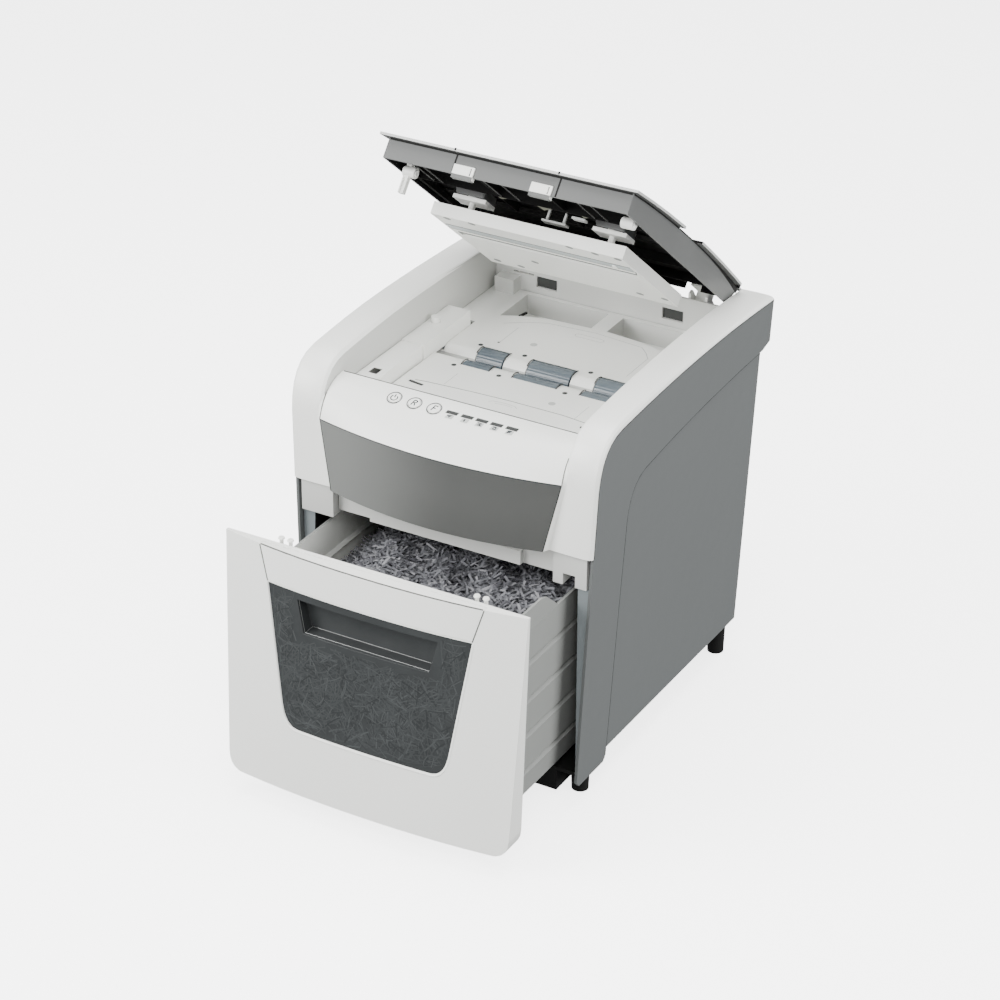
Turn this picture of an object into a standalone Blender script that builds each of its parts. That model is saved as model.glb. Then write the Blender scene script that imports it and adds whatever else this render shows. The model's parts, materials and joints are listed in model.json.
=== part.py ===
"""Paper shredder with an automatic feed tray, a hinged lid and a pull-out bin.

Every piece is drawn in millimetres with the lid and the drawer closed. The last step then
poses the lid open and the drawer part way out. X runs to the right, Y to the back, Z up.
Y is measured from the front lower corner of the side panels until the housing is centred.
"""
import math

import bmesh
import bpy
from mathutils import Matrix, Vector

MM = 0.001
WELD = 0.000001
GAP = 0.3

# Pose
LID_OPEN_DEGREES = 39.6
DRAWER_OPEN = 107.0

# Housing
HALF_WIDTH_TOP = 167.2
TOP_HEIGHT = 392.7
SIDE_TAPER = 0.0361
PANEL = 3.2
ARCH_INNER = 131.0
ARCH_INNER_FOOT = 115.8
SPLIT_HEIGHT = 275.3
FRONT_LEAN = 0.0356
REAR_EDGE = 371.0
PAN_TOP = 36.6
FLANGE_BOTTOM = 33.0
TUB_HALF = 128.0
TUB_BOTTOM = 10.0
FOOT_X = 138.5
FOOT_RADIUS = 9.5
PAN_FRONT = 8.0
PAN_BACK = 344.0
PAN_WALL = 3.5
PILLAR_TOP = 238.0
CENTRE_Y = 115.75

# Crown shared by the side panels, the arch covers and the lid
CROWN_BASE = 391.3
CROWN_RISE = 6.7
CROWN_MIDDLE = 207.0
CROWN_HALF = 163.0
CROWN_PLACES = (75.0, 105.0, 140.0, 175.0, 207.0, 240.0, 275.0, 310.0, 342.0, REAR_EDGE)

# Control fascia, as Y and Z of the points of its curve
FASCIA_TOP = (46.0, 379.0)
FASCIA_CONTROL = (14.0, 377.0)
FASCIA_FOOT = (5.0, 346.2)
FRONT_BOW = 16.0

# Feed tray
BED_TOP = 351.0
BED_SKIN = 2.5
TRAY_HALF = 130.4
TRAY_BACK = 340.0
TRAY_FOOT = 347.0
POCKET_FLOOR = 329.0
LEFT_POCKET = [(-90.0, 277.0), (-72.0, 286.0), (-45.0, 294.0), (3.0, 297.0), (3.0, 334.0), (-90.0, 334.0)]
RIGHT_POCKET = [(20.0, 298.0), (60.0, 294.0), (90.0, 286.0), (104.0, 274.0), (104.0, 334.0), (20.0, 334.0)]
SENSOR_BOX_TOP = 366.0
PAPER_MIDDLE_X = 12.5
ROLLER_RADIUS = 14.0
ROLLER_HEIGHT = 338.0
LIP_RADIUS = 13.0
THROAT_Y = 185.5
FEED_SPACING = 32.0
FEED_Y = (THROAT_Y - FEED_SPACING / 2, THROAT_Y + FEED_SPACING / 2)
SHAFT_RADIUS = 4.0
SHAFT_CLEARANCE = 0.06
ROLLER_PLACES = ((-65.5, 29.0), (0.0, 47.0), (65.5, 29.0))

# Cutter and drive
CUTTER_HEIGHT = 298.0
CUTTER_SPACING = 28.0
CUTTER_Y = (THROAT_Y - CUTTER_SPACING / 2, THROAT_Y + CUTTER_SPACING / 2)
DISC_RADIUS = 17.0
CORE_RADIUS = 9.5
DISC_PITCH = 30.0
DISC_WIDTH = 12.0
CUTTER_SHAFT = 6.0
GEAR_MODULE = 2.0
SYNC_TEETH = 14
FEED_TEETH = 16
IDLER_TEETH = 10
DRIVE_MODULE = 1.5
DRIVE_TEETH = 44
PINION_TEETH = 12
LEFT_GEARS = (-141.0, -134.5)
RIGHT_GEARS = (134.5, 141.0)
MOTOR_RADIUS = 24.0
MOTOR_Y = CUTTER_Y[1] + DRIVE_MODULE * (DRIVE_TEETH + PINION_TEETH) / 2

# Drawer
DRAWER_TOP = 274.3
DRAWER_BOTTOM = 24.0
DRAWER_HALF_TOP = 162.0
DRAWER_HALF_BOTTOM = 154.0
DRAWER_BACK = -0.6
FRONT_EDGE_TOP = -4.0
FRONT_EDGE_BOTTOM = -26.0
FRONT_BOW_TOP = 14.0
FRONT_BOW_BOTTOM = 10.0
FRONT_WALL = 2.6
BIN_HALF = 135.0
BIN_TOP = 227.5
BIN_BOTTOM = 40.3
BIN_REAR = 318.0
BIN_WALL = 2.5
BIN_GROOVES = (190.5, 149.5, 110.5, 70.5)

# Lid
HINGE = (352.0, 373.0)
ARM_X = 96.5
PIN_RADIUS = 3.0
LID_FRONT = 50.0
LID_HALF = 130.0
SKIRT_BOTTOM = 379.0
FLANGE_HALF = 137.0
FLANGE_TOP = 10.0
FLANGE_THICK = 2.6
LID_SKIN = 2.2
CATCH_HALF = 55.0
PLATE_HALF = 104.0
PLATE_FRONT = 126.0
PLATE_REAR = 280.0
PLATE_BOTTOM = 354.0
PLATE_TOP = 366.5
POST_X = 76.0
POST_Y = 150.0

# Controls
BUTTON_XS = (-62.0, -40.0, -18.5)
BUTTON_NAMES = ("button_power", "button_reverse", "button_forward")
BUTTON_RADIUS = 6.0
BUTTON_PLACE = 0.275
KNOB = (-122.0, 205.0)

FINISHES = {
    "white": ((0.80, 0.80, 0.77), 0.42, 0.0),
    "side_grey": ((0.21, 0.22, 0.22), 0.48, 0.0),
    "panel_grey": ((0.17, 0.175, 0.165), 0.38, 0.0),
    "pillar_grey": ((0.32, 0.36, 0.37), 0.45, 0.0),
    "bin_grey": ((0.66, 0.67, 0.63), 0.5, 0.0),
    "black": ((0.02, 0.02, 0.02), 0.55, 0.0),
    "smoke": ((0.06, 0.07, 0.07), 0.12, 0.0),
    "rubber": ((0.22, 0.25, 0.28), 0.6, 0.0),
    "steel": ((0.55, 0.56, 0.58), 0.35, 0.9),
    "nylon": ((0.72, 0.72, 0.68), 0.5, 0.0),
    "board": ((0.03, 0.16, 0.08), 0.5, 0.0),
}

AXIS_TURNS = {
    "X": Matrix(((0, 0, 1, 0), (1, 0, 0, 0), (0, 1, 0, 0), (0, 0, 0, 1))),
    "Y": Matrix(((1, 0, 0, 0), (0, 0, 1, 0), (0, 1, 0, 0), (0, 0, 0, 1))),
    "Z": Matrix.Identity(4),
}


# ---------------------------------------------------------------- scene helpers

def clear_scene():
    for item in list(bpy.data.objects):
        bpy.data.objects.remove(item, do_unlink=True)


def make_group(name):
    group = bpy.data.collections.new(name)
    bpy.context.scene.collection.children.link(group)
    return group


def make_finish(name, finish):
    colour, roughness, metallic = FINISHES[finish]
    material = bpy.data.materials.new(name)
    material.use_nodes = True
    shader = material.node_tree.nodes["Principled BSDF"]
    shader.inputs["Base Color"].default_value = (*colour, 1.0)
    shader.inputs["Roughness"].default_value = roughness
    shader.inputs["Metallic"].default_value = metallic
    return material


def marker_home(marker):
    home = Vector((0.0, 0.0, 0.0))
    while marker is not None:
        home += marker.location
        marker = marker.parent
    return home


def add_marker(name, place, holder=None):
    """An empty on a joint's axis, or at the middle of the housing."""
    marker = bpy.data.objects.new(name, None)
    PARTS.objects.link(marker)
    marker.location = Vector(place) * MM - marker_home(holder)
    marker.parent = holder
    return marker


def add_part(name, mesh, finish, holder):
    part = bpy.data.objects.new(name, mesh)
    PARTS.objects.link(part)
    mesh.materials.clear()
    mesh.materials.append(make_finish(name, finish))
    part.parent = holder
    part.location = -marker_home(holder)
    return part


def combine(part, operation, meshes):
    for mesh in meshes:
        tool = bpy.data.objects.new(part.name + "_tool", mesh)
        CUTTERS.objects.link(tool)
        tool.display_type = "WIRE"
        tool.hide_render = True
        tool.parent = part
        modifier = part.modifiers.new(operation.lower(), "BOOLEAN")
        modifier.operation = operation
        modifier.solver = "EXACT"
        modifier.object = tool
    return part


def cut(part, *meshes):
    return combine(part, "DIFFERENCE", meshes)


def fuse(part, *meshes):
    return combine(part, "UNION", meshes)


def keep(part, *meshes):
    return combine(part, "INTERSECT", meshes)


# ---------------------------------------------------------------- shape helpers

def crown(y):
    return CROWN_BASE + CROWN_RISE * (1.0 - ((y - CROWN_MIDDLE) / CROWN_HALF) ** 2)


def panel_half(z):
    """Half width over the side panels, which taper towards the floor."""
    return HALF_WIDTH_TOP - SIDE_TAPER * (TOP_HEIGHT - z)


def bend(start, control, stop, steps):
    """Points of a quadratic curve, both ends included."""
    points = []
    for step in range(steps + 1):
        t = step / steps
        weights = ((1 - t) ** 2, 2 * t * (1 - t), t * t)
        points.append(tuple(sum(w * p[i] for w, p in zip(weights, (start, control, stop))) for i in (0, 1)))
    return points


def circle(centre, radius, sides):
    turns = [2 * math.pi * k / sides for k in range(sides)]
    return [(centre[0] + radius * math.cos(a), centre[1] + radius * math.sin(a)) for a in turns]


def rectangle(u0, u1, v0, v1):
    return [(u0, v0), (u1, v0), (u1, v1), (u0, v1)]


def arc(centre, radius, first, last, steps):
    angles = [math.radians(first + (last - first) * k / steps) for k in range(steps + 1)]
    return [(centre[0] + radius * math.cos(a), centre[1] + radius * math.sin(a)) for a in angles]


def face_outwards(work):
    bmesh.ops.recalc_face_normals(work, faces=work.faces)
    if work.calc_volume(signed=True) < 0.0:
        bmesh.ops.reverse_faces(work, faces=work.faces)


def finish_mesh(mesh, transform):
    work = bmesh.new()
    work.from_mesh(mesh)
    bmesh.ops.remove_doubles(work, verts=work.verts, dist=WELD)
    work.transform(transform)
    face_outwards(work)
    work.to_mesh(mesh)
    work.free()
    return mesh


def prism(outline, axis, start, stop, holes=()):
    """An outline across the axis, filled and extruded from start to stop."""
    curve = bpy.data.curves.new("outline", "CURVE")
    curve.dimensions = "2D"
    curve.fill_mode = "BOTH"
    curve.extrude = 0.5 * (stop - start) * MM
    for loop in (outline, *holes):
        spline = curve.splines.new("POLY")
        spline.points.add(len(loop) - 1)
        for point, (u, v) in zip(spline.points, loop):
            point.co = (u * MM, v * MM, 0.0, 1.0)
        spline.use_cyclic_u = True
    drawing = bpy.data.objects.new("outline", curve)
    bpy.context.scene.collection.objects.link(drawing)
    depsgraph = bpy.context.evaluated_depsgraph_get()
    mesh = bpy.data.meshes.new_from_object(drawing.evaluated_get(depsgraph))
    bpy.data.objects.remove(drawing, do_unlink=True)
    middle = Matrix.Translation((0.0, 0.0, 0.5 * (start + stop) * MM))
    return finish_mesh(mesh, AXIS_TURNS[axis] @ middle)


def block(x0, x1, y0, y1, z0, z1):
    work = bmesh.new()
    bmesh.ops.create_cube(work, size=1.0)
    size = Matrix.Diagonal(((x1 - x0) * MM, (y1 - y0) * MM, (z1 - z0) * MM, 1.0))
    middle = Vector((x0 + x1, y0 + y1, z0 + z1)) * 0.5 * MM
    work.transform(Matrix.Translation(middle) @ size)
    mesh = bpy.data.meshes.new("block")
    work.to_mesh(mesh)
    work.free()
    return mesh


def rod(axis, centre, radius, start, stop, sides=24, tip_radius=None):
    """A cylinder or cone along the axis, centred on a point of the plane across it."""
    work = bmesh.new()
    top = radius if tip_radius is None else tip_radius
    depth = (stop - start) * MM
    radii = {"radius1": radius * MM, "radius2": top * MM}
    bmesh.ops.create_cone(work, cap_ends=True, segments=sides, depth=depth, **radii)
    middle = Matrix.Translation(Vector((centre[0], centre[1], 0.5 * (start + stop))) * MM)
    work.transform(AXIS_TURNS[axis] @ middle)
    face_outwards(work)
    mesh = bpy.data.meshes.new("rod")
    work.to_mesh(mesh)
    work.free()
    return mesh


def slice_across(mesh, axis, places):
    """Adds edge loops across the axis, so that the piece can be bent."""
    normal = {"X": (1, 0, 0), "Y": (0, 1, 0), "Z": (0, 0, 1)}[axis]
    work = bmesh.new()
    work.from_mesh(mesh)
    for place in places:
        point = Vector(normal) * place * MM
        everything = work.verts[:] + work.edges[:] + work.faces[:]
        bmesh.ops.bisect_plane(work, geom=everything, plane_co=point, plane_no=normal, dist=WELD)
    work.to_mesh(mesh)
    work.free()
    return mesh


def reshape(mesh, rule):
    """Moves each vertex by a rule that maps millimetres to millimetres."""
    for vertex in mesh.vertices:
        x, y, z = (value / MM for value in vertex.co)
        vertex.co = Vector(rule(x, y, z)) * MM
    return mesh


def mirrored(mesh):
    """The same mesh on the other side of the middle plane."""
    copy = mesh.copy()
    return finish_mesh(copy, Matrix.Diagonal((-1.0, 1.0, 1.0, 1.0)))


def spread(first, last, count):
    return [first + (last - first) * k / count for k in range(count + 1)]


# ---------------------------------------------------------------- housing

def front_edge(z):
    return 0.6 + FRONT_LEAN * (z - 25.0)


def side_outline():
    corner = bend((52.0, crown(52.0)), (16.0, 389.0), (front_edge(345.0), 345.0), 6)
    top = [(y, crown(y)) for y in reversed(CROWN_PLACES)]
    rear = [(342.0, 37.0), (346.0, 176.0), (351.0, 342.0), (369.0, 347.0)]
    foot = [(front_edge(30.0), 30.0), (6.0, 24.5), (54.0, 24.5), (58.0, 28.0), (58.0, 37.0)]
    return top + corner + foot + rear


def recess_outline():
    top = bend((372.0, 343.0), (225.0, 343.0), (108.0, 327.0), 4)
    corner = bend((108.0, 327.0), (79.0, 323.0), (74.0, 288.0), 4)
    return top + corner[1:] + [(69.0, 214.0), (58.5, 30.0), (372.0, 30.0)]


def taper_side(x, y, z):
    return (x - SIDE_TAPER * (TOP_HEIGHT - z), y, z)


def side_panels(housing):
    outer = HALF_WIDTH_TOP
    for name, flip in (("side_panel_right", False), ("side_panel_left", True)):
        sheet = reshape(prism(side_outline(), "X", outer - PANEL, outer), taper_side)
        recess = reshape(prism(recess_outline(), "X", outer - 1.3, outer + 6.0), taper_side)
        if flip:
            sheet = mirrored(sheet)
            recess = mirrored(recess)
        cut(add_part(name, sheet, "side_grey", housing), recess)


def crest(y):
    """Height of the arch cover over the side panel's edge."""
    return 8.0 - 4.0 * min(1.0, max(0.0, (y - 130.0) / 150.0))


def arch_stations():
    """Where the cover's section stands: place, outward direction, crest and foot of the inner wall."""
    stations = []
    for z in (SPLIT_HEIGHT, 300.0, 325.0):
        stations.append(((front_edge(z), z), (front_edge(z) + 18.0, z), 5.0))
    corner = bend((front_edge(345.0), 345.0), (16.0, 389.0), (52.0, crown(52.0)), 6)
    feet = bend((front_edge(345.0) + 18.0, TRAY_FOOT - 5.0), (42.0, TRAY_FOOT), (64.0, TRAY_FOOT), 6)
    for place, foot in zip(corner, feet):
        share = (place[1] - 345.0) / 47.0
        stations.append((place, foot, 5.0 + 3.0 * share))
    for y in CROWN_PLACES:
        stations.append(((y, crown(y)), (y, TRAY_FOOT), crest(y)))
    return stations


def station_normals(stations):
    places = [Vector(place) for place, _, _ in stations]
    normals = []
    for k in range(len(places)):
        along = places[min(k + 1, len(places) - 1)] - places[max(k - 1, 0)]
        along.normalize()
        normals.append(Vector((-along.y, along.x)))
    normals[0] = Vector((-1.0, 0.0))
    normals[-1] = Vector((0.0, 1.0))
    return normals


def arch_inner(z):
    share = min(1.0, max(0.0, (z - SPLIT_HEIGHT) / 71.0))
    return ARCH_INNER_FOOT + (ARCH_INNER - ARCH_INNER_FOOT) * share


def arch_ring(place, normal, foot, height):
    """One closed section of the cover, from its outer edge over the crest to the inner wall."""
    outer = panel_half(place[1])
    inner = arch_inner(place[1])
    soft = 2.0 * height - 7.0
    skin = 2.2
    middle = 0.5 * (outer + inner)
    over = [(outer, 0.6), (outer - 0.7, 0.5 * height), (outer - 2.6, 0.8 * height), (outer - 7.0, 0.97 * height),
            (middle, height), (inner + soft, 0.9 * height), (inner + 0.45 * soft, 0.68 * height),
            (inner + 0.12 * soft, 0.3 * height), (inner, -2.0)]
    under = [(inner + skin, -2.0), (inner + 0.45 * soft + 1.2, 0.68 * height - skin),
             (inner + soft + 0.5, 0.9 * height - skin), (middle, height - skin),
             (outer - 7.4, 0.97 * height - skin), (outer - 3.4, 0.6)]
    base = Vector(place)
    ring = [Vector((x, *(base + normal * rise))) for x, rise in over]
    ring.append(Vector((inner, *foot)))
    ring.append(Vector((inner + skin, *foot)))
    ring.extend(Vector((x, *(base + normal * rise))) for x, rise in under)
    return ring


def arch_mesh():
    """The cover is a loft, because its section changes all along its path."""
    stations = arch_stations()
    normals = station_normals(stations)
    work = bmesh.new()
    rings = []
    for (place, foot, height), normal in zip(stations, normals):
        rings.append([work.verts.new(point * MM) for point in arch_ring(place, normal, foot, height)])
    count = len(rings[0])
    for first, second in zip(rings, rings[1:]):
        for k in range(count):
            work.faces.new((first[k], first[(k + 1) % count], second[(k + 1) % count], second[k]))
    work.faces.new(rings[0])
    work.faces.new(list(reversed(rings[-1])))
    face_outwards(work)
    mesh = bpy.data.meshes.new("arch")
    work.to_mesh(mesh)
    work.free()
    return mesh


def arch_end_mesh():
    """The plate that closes the cover's rear end."""
    top = crown(REAR_EDGE)
    outer = panel_half(top)
    low = TRAY_FOOT + 0.5
    outline = [(ARCH_INNER + 0.3, low), (panel_half(low) - 3.6, low), (outer - 3.6, top + 0.8),
               (outer - 7.0, top + 2.6), (ARCH_INNER + 9.0, top + 2.6), (ARCH_INNER + 1.6, top + 0.2),
               (ARCH_INNER + 0.3, top - 2.0)]
    return prism(outline, "Y", REAR_EDGE - 2.4, REAR_EDGE - 0.2)


def arch_covers(housing):
    cover = arch_mesh()
    end = arch_end_mesh()
    fuse(add_part("arch_cover_right", cover, "white", housing), end)
    fuse(add_part("arch_cover_left", mirrored(cover), "white", housing), mirrored(end))


def bow_front(x, y, z):
    """Pushes the front out in the middle, by nothing at the tray's edge and fully below."""
    share = min(1.0, max(0.0, (FASCIA_TOP[1] - z) / (FASCIA_TOP[1] - FASCIA_FOOT[1])))
    return (x, y - FRONT_BOW * share * (1.0 - (x / TRAY_HALF) ** 2), z)


def fascia_point(x, t):
    """A point of the fascia's outer face and its normal."""
    here = []
    for step in (t, t + 0.01):
        y, z = bend(FASCIA_TOP, FASCIA_CONTROL, FASCIA_FOOT, 1000)[round(step * 1000)]
        here.append(Vector(bow_front(x, y, z)))
    along = here[1] - here[0]
    normal = Vector((0.0, along.z, -along.y)).normalized()
    return here[0], normal


def along_normal(mesh, point, normal):
    """Stands a piece drawn about +Z at the origin on a point of the fascia."""
    turn = Vector((0.0, 0.0, 1.0)).rotation_difference(normal).to_matrix().to_4x4()
    mesh.transform(Matrix.Translation(point * MM) @ turn)
    return mesh


def control_fascia(housing):
    outer = bend(FASCIA_TOP, FASCIA_CONTROL, FASCIA_FOOT, 7)
    inner = bend((FASCIA_FOOT[0] + 2.4, FASCIA_FOOT[1]), (16.0, 374.6), (FASCIA_TOP[0], FASCIA_TOP[1] - 2.4), 4)
    shell = prism(outer + inner, "X", -TRAY_HALF, TRAY_HALF)
    shell = reshape(slice_across(shell, "X", spread(-TRAY_HALF, TRAY_HALF, 12)[1:-1]), bow_front)
    fascia = add_part("control_fascia", shell, "white", housing)
    for x in BUTTON_XS:
        point, normal = fascia_point(x, BUTTON_PLACE)
        cut(fascia, along_normal(rod("Z", (0.0, 0.0), BUTTON_RADIUS + 0.35, -9.0, 5.0), point, normal))


def buttons(housing):
    for name, x in zip(BUTTON_NAMES, BUTTON_XS):
        point, normal = fascia_point(x, BUTTON_PLACE)
        marker = add_marker(name + "_travel", point, housing)
        cap = along_normal(rod("Z", (0.0, 0.0), BUTTON_RADIUS, -3.4, 0.5), point, normal)
        add_part(name, cap, "white", marker)


def front_panel(housing):
    foot_y = -2.0
    top_y = FASCIA_FOOT[0]
    top_z = FASCIA_FOOT[1] - 0.5
    outline = [(top_y, top_z), (foot_y, SPLIT_HEIGHT), (foot_y + 2.4, SPLIT_HEIGHT), (top_y + 2.4, top_z)]
    sheet = prism(outline, "X", -TRAY_HALF, TRAY_HALF)
    sheet = slice_across(sheet, "X", spread(-TRAY_HALF, TRAY_HALF, 12)[1:-1])
    sheet = reshape(sheet, bow_front)
    narrow = (TRAY_HALF - ARCH_INNER_FOOT + 0.5) / (top_z - SPLIT_HEIGHT)

    def pinch(x, y, z):
        return (x * (1.0 - narrow * (top_z - z) / TRAY_HALF), y, z)

    add_part("front_panel", reshape(sheet, pinch), "panel_grey", housing)


def base_pan(housing):
    """A tub with a flange that carries the side panels and stands on the feet."""
    tub = block(-TUB_HALF, TUB_HALF, PAN_FRONT, PAN_BACK, TUB_BOTTOM, PAN_TOP)
    pan = add_part("base_pan", tub, "black", housing)
    fuse(pan, block(-149.5, 149.5, PAN_FRONT, PAN_BACK, FLANGE_BOTTOM, PAN_TOP))
    inside = TUB_HALF - PAN_WALL
    cut(pan, block(-inside, inside, PAN_FRONT + PAN_WALL, PAN_BACK - PAN_WALL, TUB_BOTTOM + 3.0, 50.0))
    for x in (-118.0, 118.0):
        fuse(pan, block(x - 5.0, x + 5.0, 10.0, 342.0, TUB_BOTTOM + 1.0, BIN_BOTTOM - 0.4))


def feet(housing):
    for depth, y in (("front", 37.0), ("rear", 330.0)):
        for side, x in (("left", -FOOT_X), ("right", FOOT_X)):
            foot = rod("Z", (x, y), FOOT_RADIUS - 1.0, 0.0, FLANGE_BOTTOM - GAP, 24, FOOT_RADIUS)
            add_part("foot_" + depth + "_" + side, foot, "black", housing)


def inner_pillars(housing):
    """Wedges that close the gap between the drawer's space and the side panels."""
    foot = PAN_TOP + 2.0 * GAP
    outline = [(8.5, foot), (14.0, PILLAR_TOP), (44.0, PILLAR_TOP), (36.0, foot)]

    def wedge(x, y, z):
        inner = 144.2 + 0.018 * (PILLAR_TOP - z)
        outer = panel_half(z) - PANEL - 0.4
        return (inner + x * (outer - inner), y, z)

    for name, flip in (("inner_pillar_right", False), ("inner_pillar_left", True)):
        strip = reshape(prism(outline, "X", 0.0, 1.0), wedge)
        add_part(name, mirrored(strip) if flip else strip, "pillar_grey", housing)


def rear_panel(housing):
    """A wall between the side panels, its ledge under the arches and a low wall above the ledge."""
    outline = [(343.5, 38.0), (347.0, 176.0), (348.5, 341.0), (366.0, 346.6), (370.4, 346.6), (368.4, 344.2),
               (351.2, 338.6), (349.4, 176.0), (346.0, 38.0)]
    wall = prism(outline, "X", -HALF_WIDTH_TOP, HALF_WIDTH_TOP)
    wall = reshape(wall, lambda x, y, z: (x * (panel_half(z) - PANEL - 0.4) / HALF_WIDTH_TOP, y, z))
    panel = add_part("rear_panel", wall, "side_grey", housing)
    fuse(panel, block(-TRAY_HALF, TRAY_HALF, 366.6, 369.0, 345.6, 372.0))
    for z in (250.0, 262.0, 274.0, 286.0, 298.0):
        cut(panel, block(-50.0, 50.0, 330.0, 365.0, z, z + 5.0))
    cut(panel, block(76.0, 104.0, 330.0, 365.0, 60.0, 84.0))


def power_inlet(housing):
    inlet = add_part("power_inlet", block(76.4, 103.6, 330.0, 349.5, 60.4, 83.6), "black", housing)
    cut(inlet, block(79.0, 101.0, 334.0, 360.0, 63.5, 80.5))
    for x, z in ((83.0, 70.0), (97.0, 70.0), (90.0, 76.0)):
        fuse(inlet, block(x - 1.0, x + 1.0, 332.0, 346.0, z - 2.0, z + 2.0))


# ---------------------------------------------------------------- feed tray

def roller_spans():
    return [(PAPER_MIDDLE_X + x - width / 2, PAPER_MIDDLE_X + x + width / 2) for x, width in ROLLER_PLACES]


def roller_clearances(y):
    cuts = []
    for left, right in roller_spans():
        cuts.append(rod("X", (y, ROLLER_HEIGHT), ROLLER_RADIUS + 0.6, left - 1.2, right + 1.2, 32))
    return cuts


def lip_ends(y0, y1):
    """Trims a bed's lip where the chassis plates stand."""
    span = (y0, y1, 315.0, BED_TOP - BED_SKIN - 0.1)
    return (block(-131.5, -125.8, *span), block(125.8, 131.5, *span))


def feed_bed_front(housing):
    axis = (FEED_Y[0], ROLLER_HEIGHT)
    lip = arc(axis, LIP_RADIUS, 90.0, 0.0, 6)
    under = arc(axis, LIP_RADIUS - BED_SKIN, 0.0, 90.0, 6)
    ramp = bend((62.0, BED_TOP), (49.4, BED_TOP), (48.6, 378.6), 4)
    back = bend((46.4, 378.6), (47.2, BED_TOP - BED_SKIN), (60.0, BED_TOP - BED_SKIN), 4)
    throat_foot = [(axis[0] + LIP_RADIUS, 322.0), (axis[0] + LIP_RADIUS - BED_SKIN, 322.0)]
    outline = list(reversed(ramp)) + lip + throat_foot + under + list(reversed(back))
    bed = add_part("feed_bed_front", prism(outline, "X", -TRAY_HALF, TRAY_HALF), "white", housing)
    cut(bed, *roller_clearances(FEED_Y[0]))
    cut(bed, block(-131.5, -104.6, 47.9, 190.0, 345.0, 380.0))
    cut(bed, *lip_ends(140.0, 190.0))


def feed_bed_rear(housing):
    axis = (FEED_Y[1], ROLLER_HEIGHT)
    lip = arc(axis, LIP_RADIUS, 180.0, 90.0, 6)
    under = arc(axis, LIP_RADIUS - BED_SKIN, 90.0, 180.0, 6)
    wall = [(TRAY_BACK, BED_TOP), (TRAY_BACK, 386.0), (TRAY_BACK + BED_SKIN, 386.0)]
    lower = [(TRAY_BACK + BED_SKIN, BED_TOP - BED_SKIN)]
    throat_foot = [(axis[0] - LIP_RADIUS + BED_SKIN, 322.0), (axis[0] - LIP_RADIUS, 322.0)]
    outline = lip + wall + lower + under + throat_foot
    bed = add_part("feed_bed_rear", prism(outline, "X", -TRAY_HALF, TRAY_HALF), "white", housing)
    fuse(bed, block(-93.0, 107.0, 271.0, 337.0, POCKET_FLOOR - 2.2, BED_TOP - 0.4))
    fuse(bed, block(-124.0, -102.0, 325.0, TRAY_BACK + 0.5, BED_TOP - 1.0, 367.0))
    cut(bed, *roller_clearances(FEED_Y[1]))
    for pocket in (LEFT_POCKET, RIGHT_POCKET):
        cut(bed, prism(pocket, "Z", POCKET_FLOOR, 360.0))
    for x in (-71.5, 71.5):
        cut(bed, block(x - 11.5, x + 11.5, 330.0, 350.0, 358.5, 370.5))
    cut(bed, block(-110.0, -86.0, 330.0, 350.0, 369.5, 371.5))
    cut(bed, block(-131.5, -104.6, 180.0, 252.5, 345.0, 380.0))
    cut(bed, *lip_ends(180.0, 275.0))


def sensor_boxes(housing):
    front_shell = block(-TRAY_HALF, -106.0, 49.6, 153.4, 349.0, SENSOR_BOX_TOP)
    front = add_part("sensor_box_front", front_shell, "white", housing)
    cut(front, block(-128.4, -108.0, 51.6, 151.4, 330.0, 364.0))
    hook_slot = block(-123.0, -113.0, 79.0, 91.0, 355.0, 370.0)
    cut(front, hook_slot)
    rear_shell = block(-TRAY_HALF, -105.0, 153.8, 244.0, 349.0, SENSOR_BOX_TOP + 0.6)
    rear = add_part("sensor_box_rear", rear_shell, "white", housing)
    fuse(rear, block(-TRAY_HALF, -113.0, 243.5, 252.0, 349.0, 361.0))
    cut(rear, block(-128.4, -107.0, 156.0, 242.0, 330.0, 364.6))
    cut(rear, rod("Z", KNOB, 5.0, 355.0, 370.0, 24))


def interlock_plunger(housing):
    marker = add_marker("plunger_travel", (*KNOB, 366.6), housing)
    plunger = add_part("interlock_plunger", rod("Z", KNOB, 4.6, 352.0, 372.4, 24), "white", marker)
    fuse(plunger, rod("Z", KNOB, 5.8, 351.0, 353.0, 24))


def hinge_brackets(housing):
    ear = [(344.2, 350.8), (344.2, 390.0), (349.5, 392.0), (361.0, 376.0), (361.0, 350.8)]
    for name, side in (("hinge_bracket_right", 1), ("hinge_bracket_left", -1)):
        middle = ARM_X * side
        bracket = add_part(name, prism(ear, "X", middle - 10.5, middle + 10.5), "white", housing)
        cut(bracket, block(middle - 7.8, middle + 7.8, 330.0, 363.5, 354.0, 400.0))
        cut(bracket, rod("X", HINGE, PIN_RADIUS + SHAFT_CLEARANCE, middle - 16.0, middle + 16.0, 24))


# ---------------------------------------------------------------- cutter and drive

def chassis_plates(housing):
    outline = rectangle(146.0, 270.0, 262.0, 347.6)
    plain = [circle((y, ROLLER_HEIGHT), SHAFT_RADIUS + SHAFT_CLEARANCE, 24) for y in FEED_Y]
    plain += [circle((y, CUTTER_HEIGHT), CUTTER_SHAFT + SHAFT_CLEARANCE, 24) for y in CUTTER_Y]
    plain += [circle((MOTOR_Y, CUTTER_HEIGHT), 5.0, 24)]
    add_part("chassis_plate_left", prism(outline, "X", -129.0, -126.5, plain), "steel", housing)
    pin = [circle(idler_place(), 3.0 + SHAFT_CLEARANCE, 24)]
    add_part("chassis_plate_right", prism(outline, "X", 126.5, 129.0, plain[:-1] + pin), "steel", housing)


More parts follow.
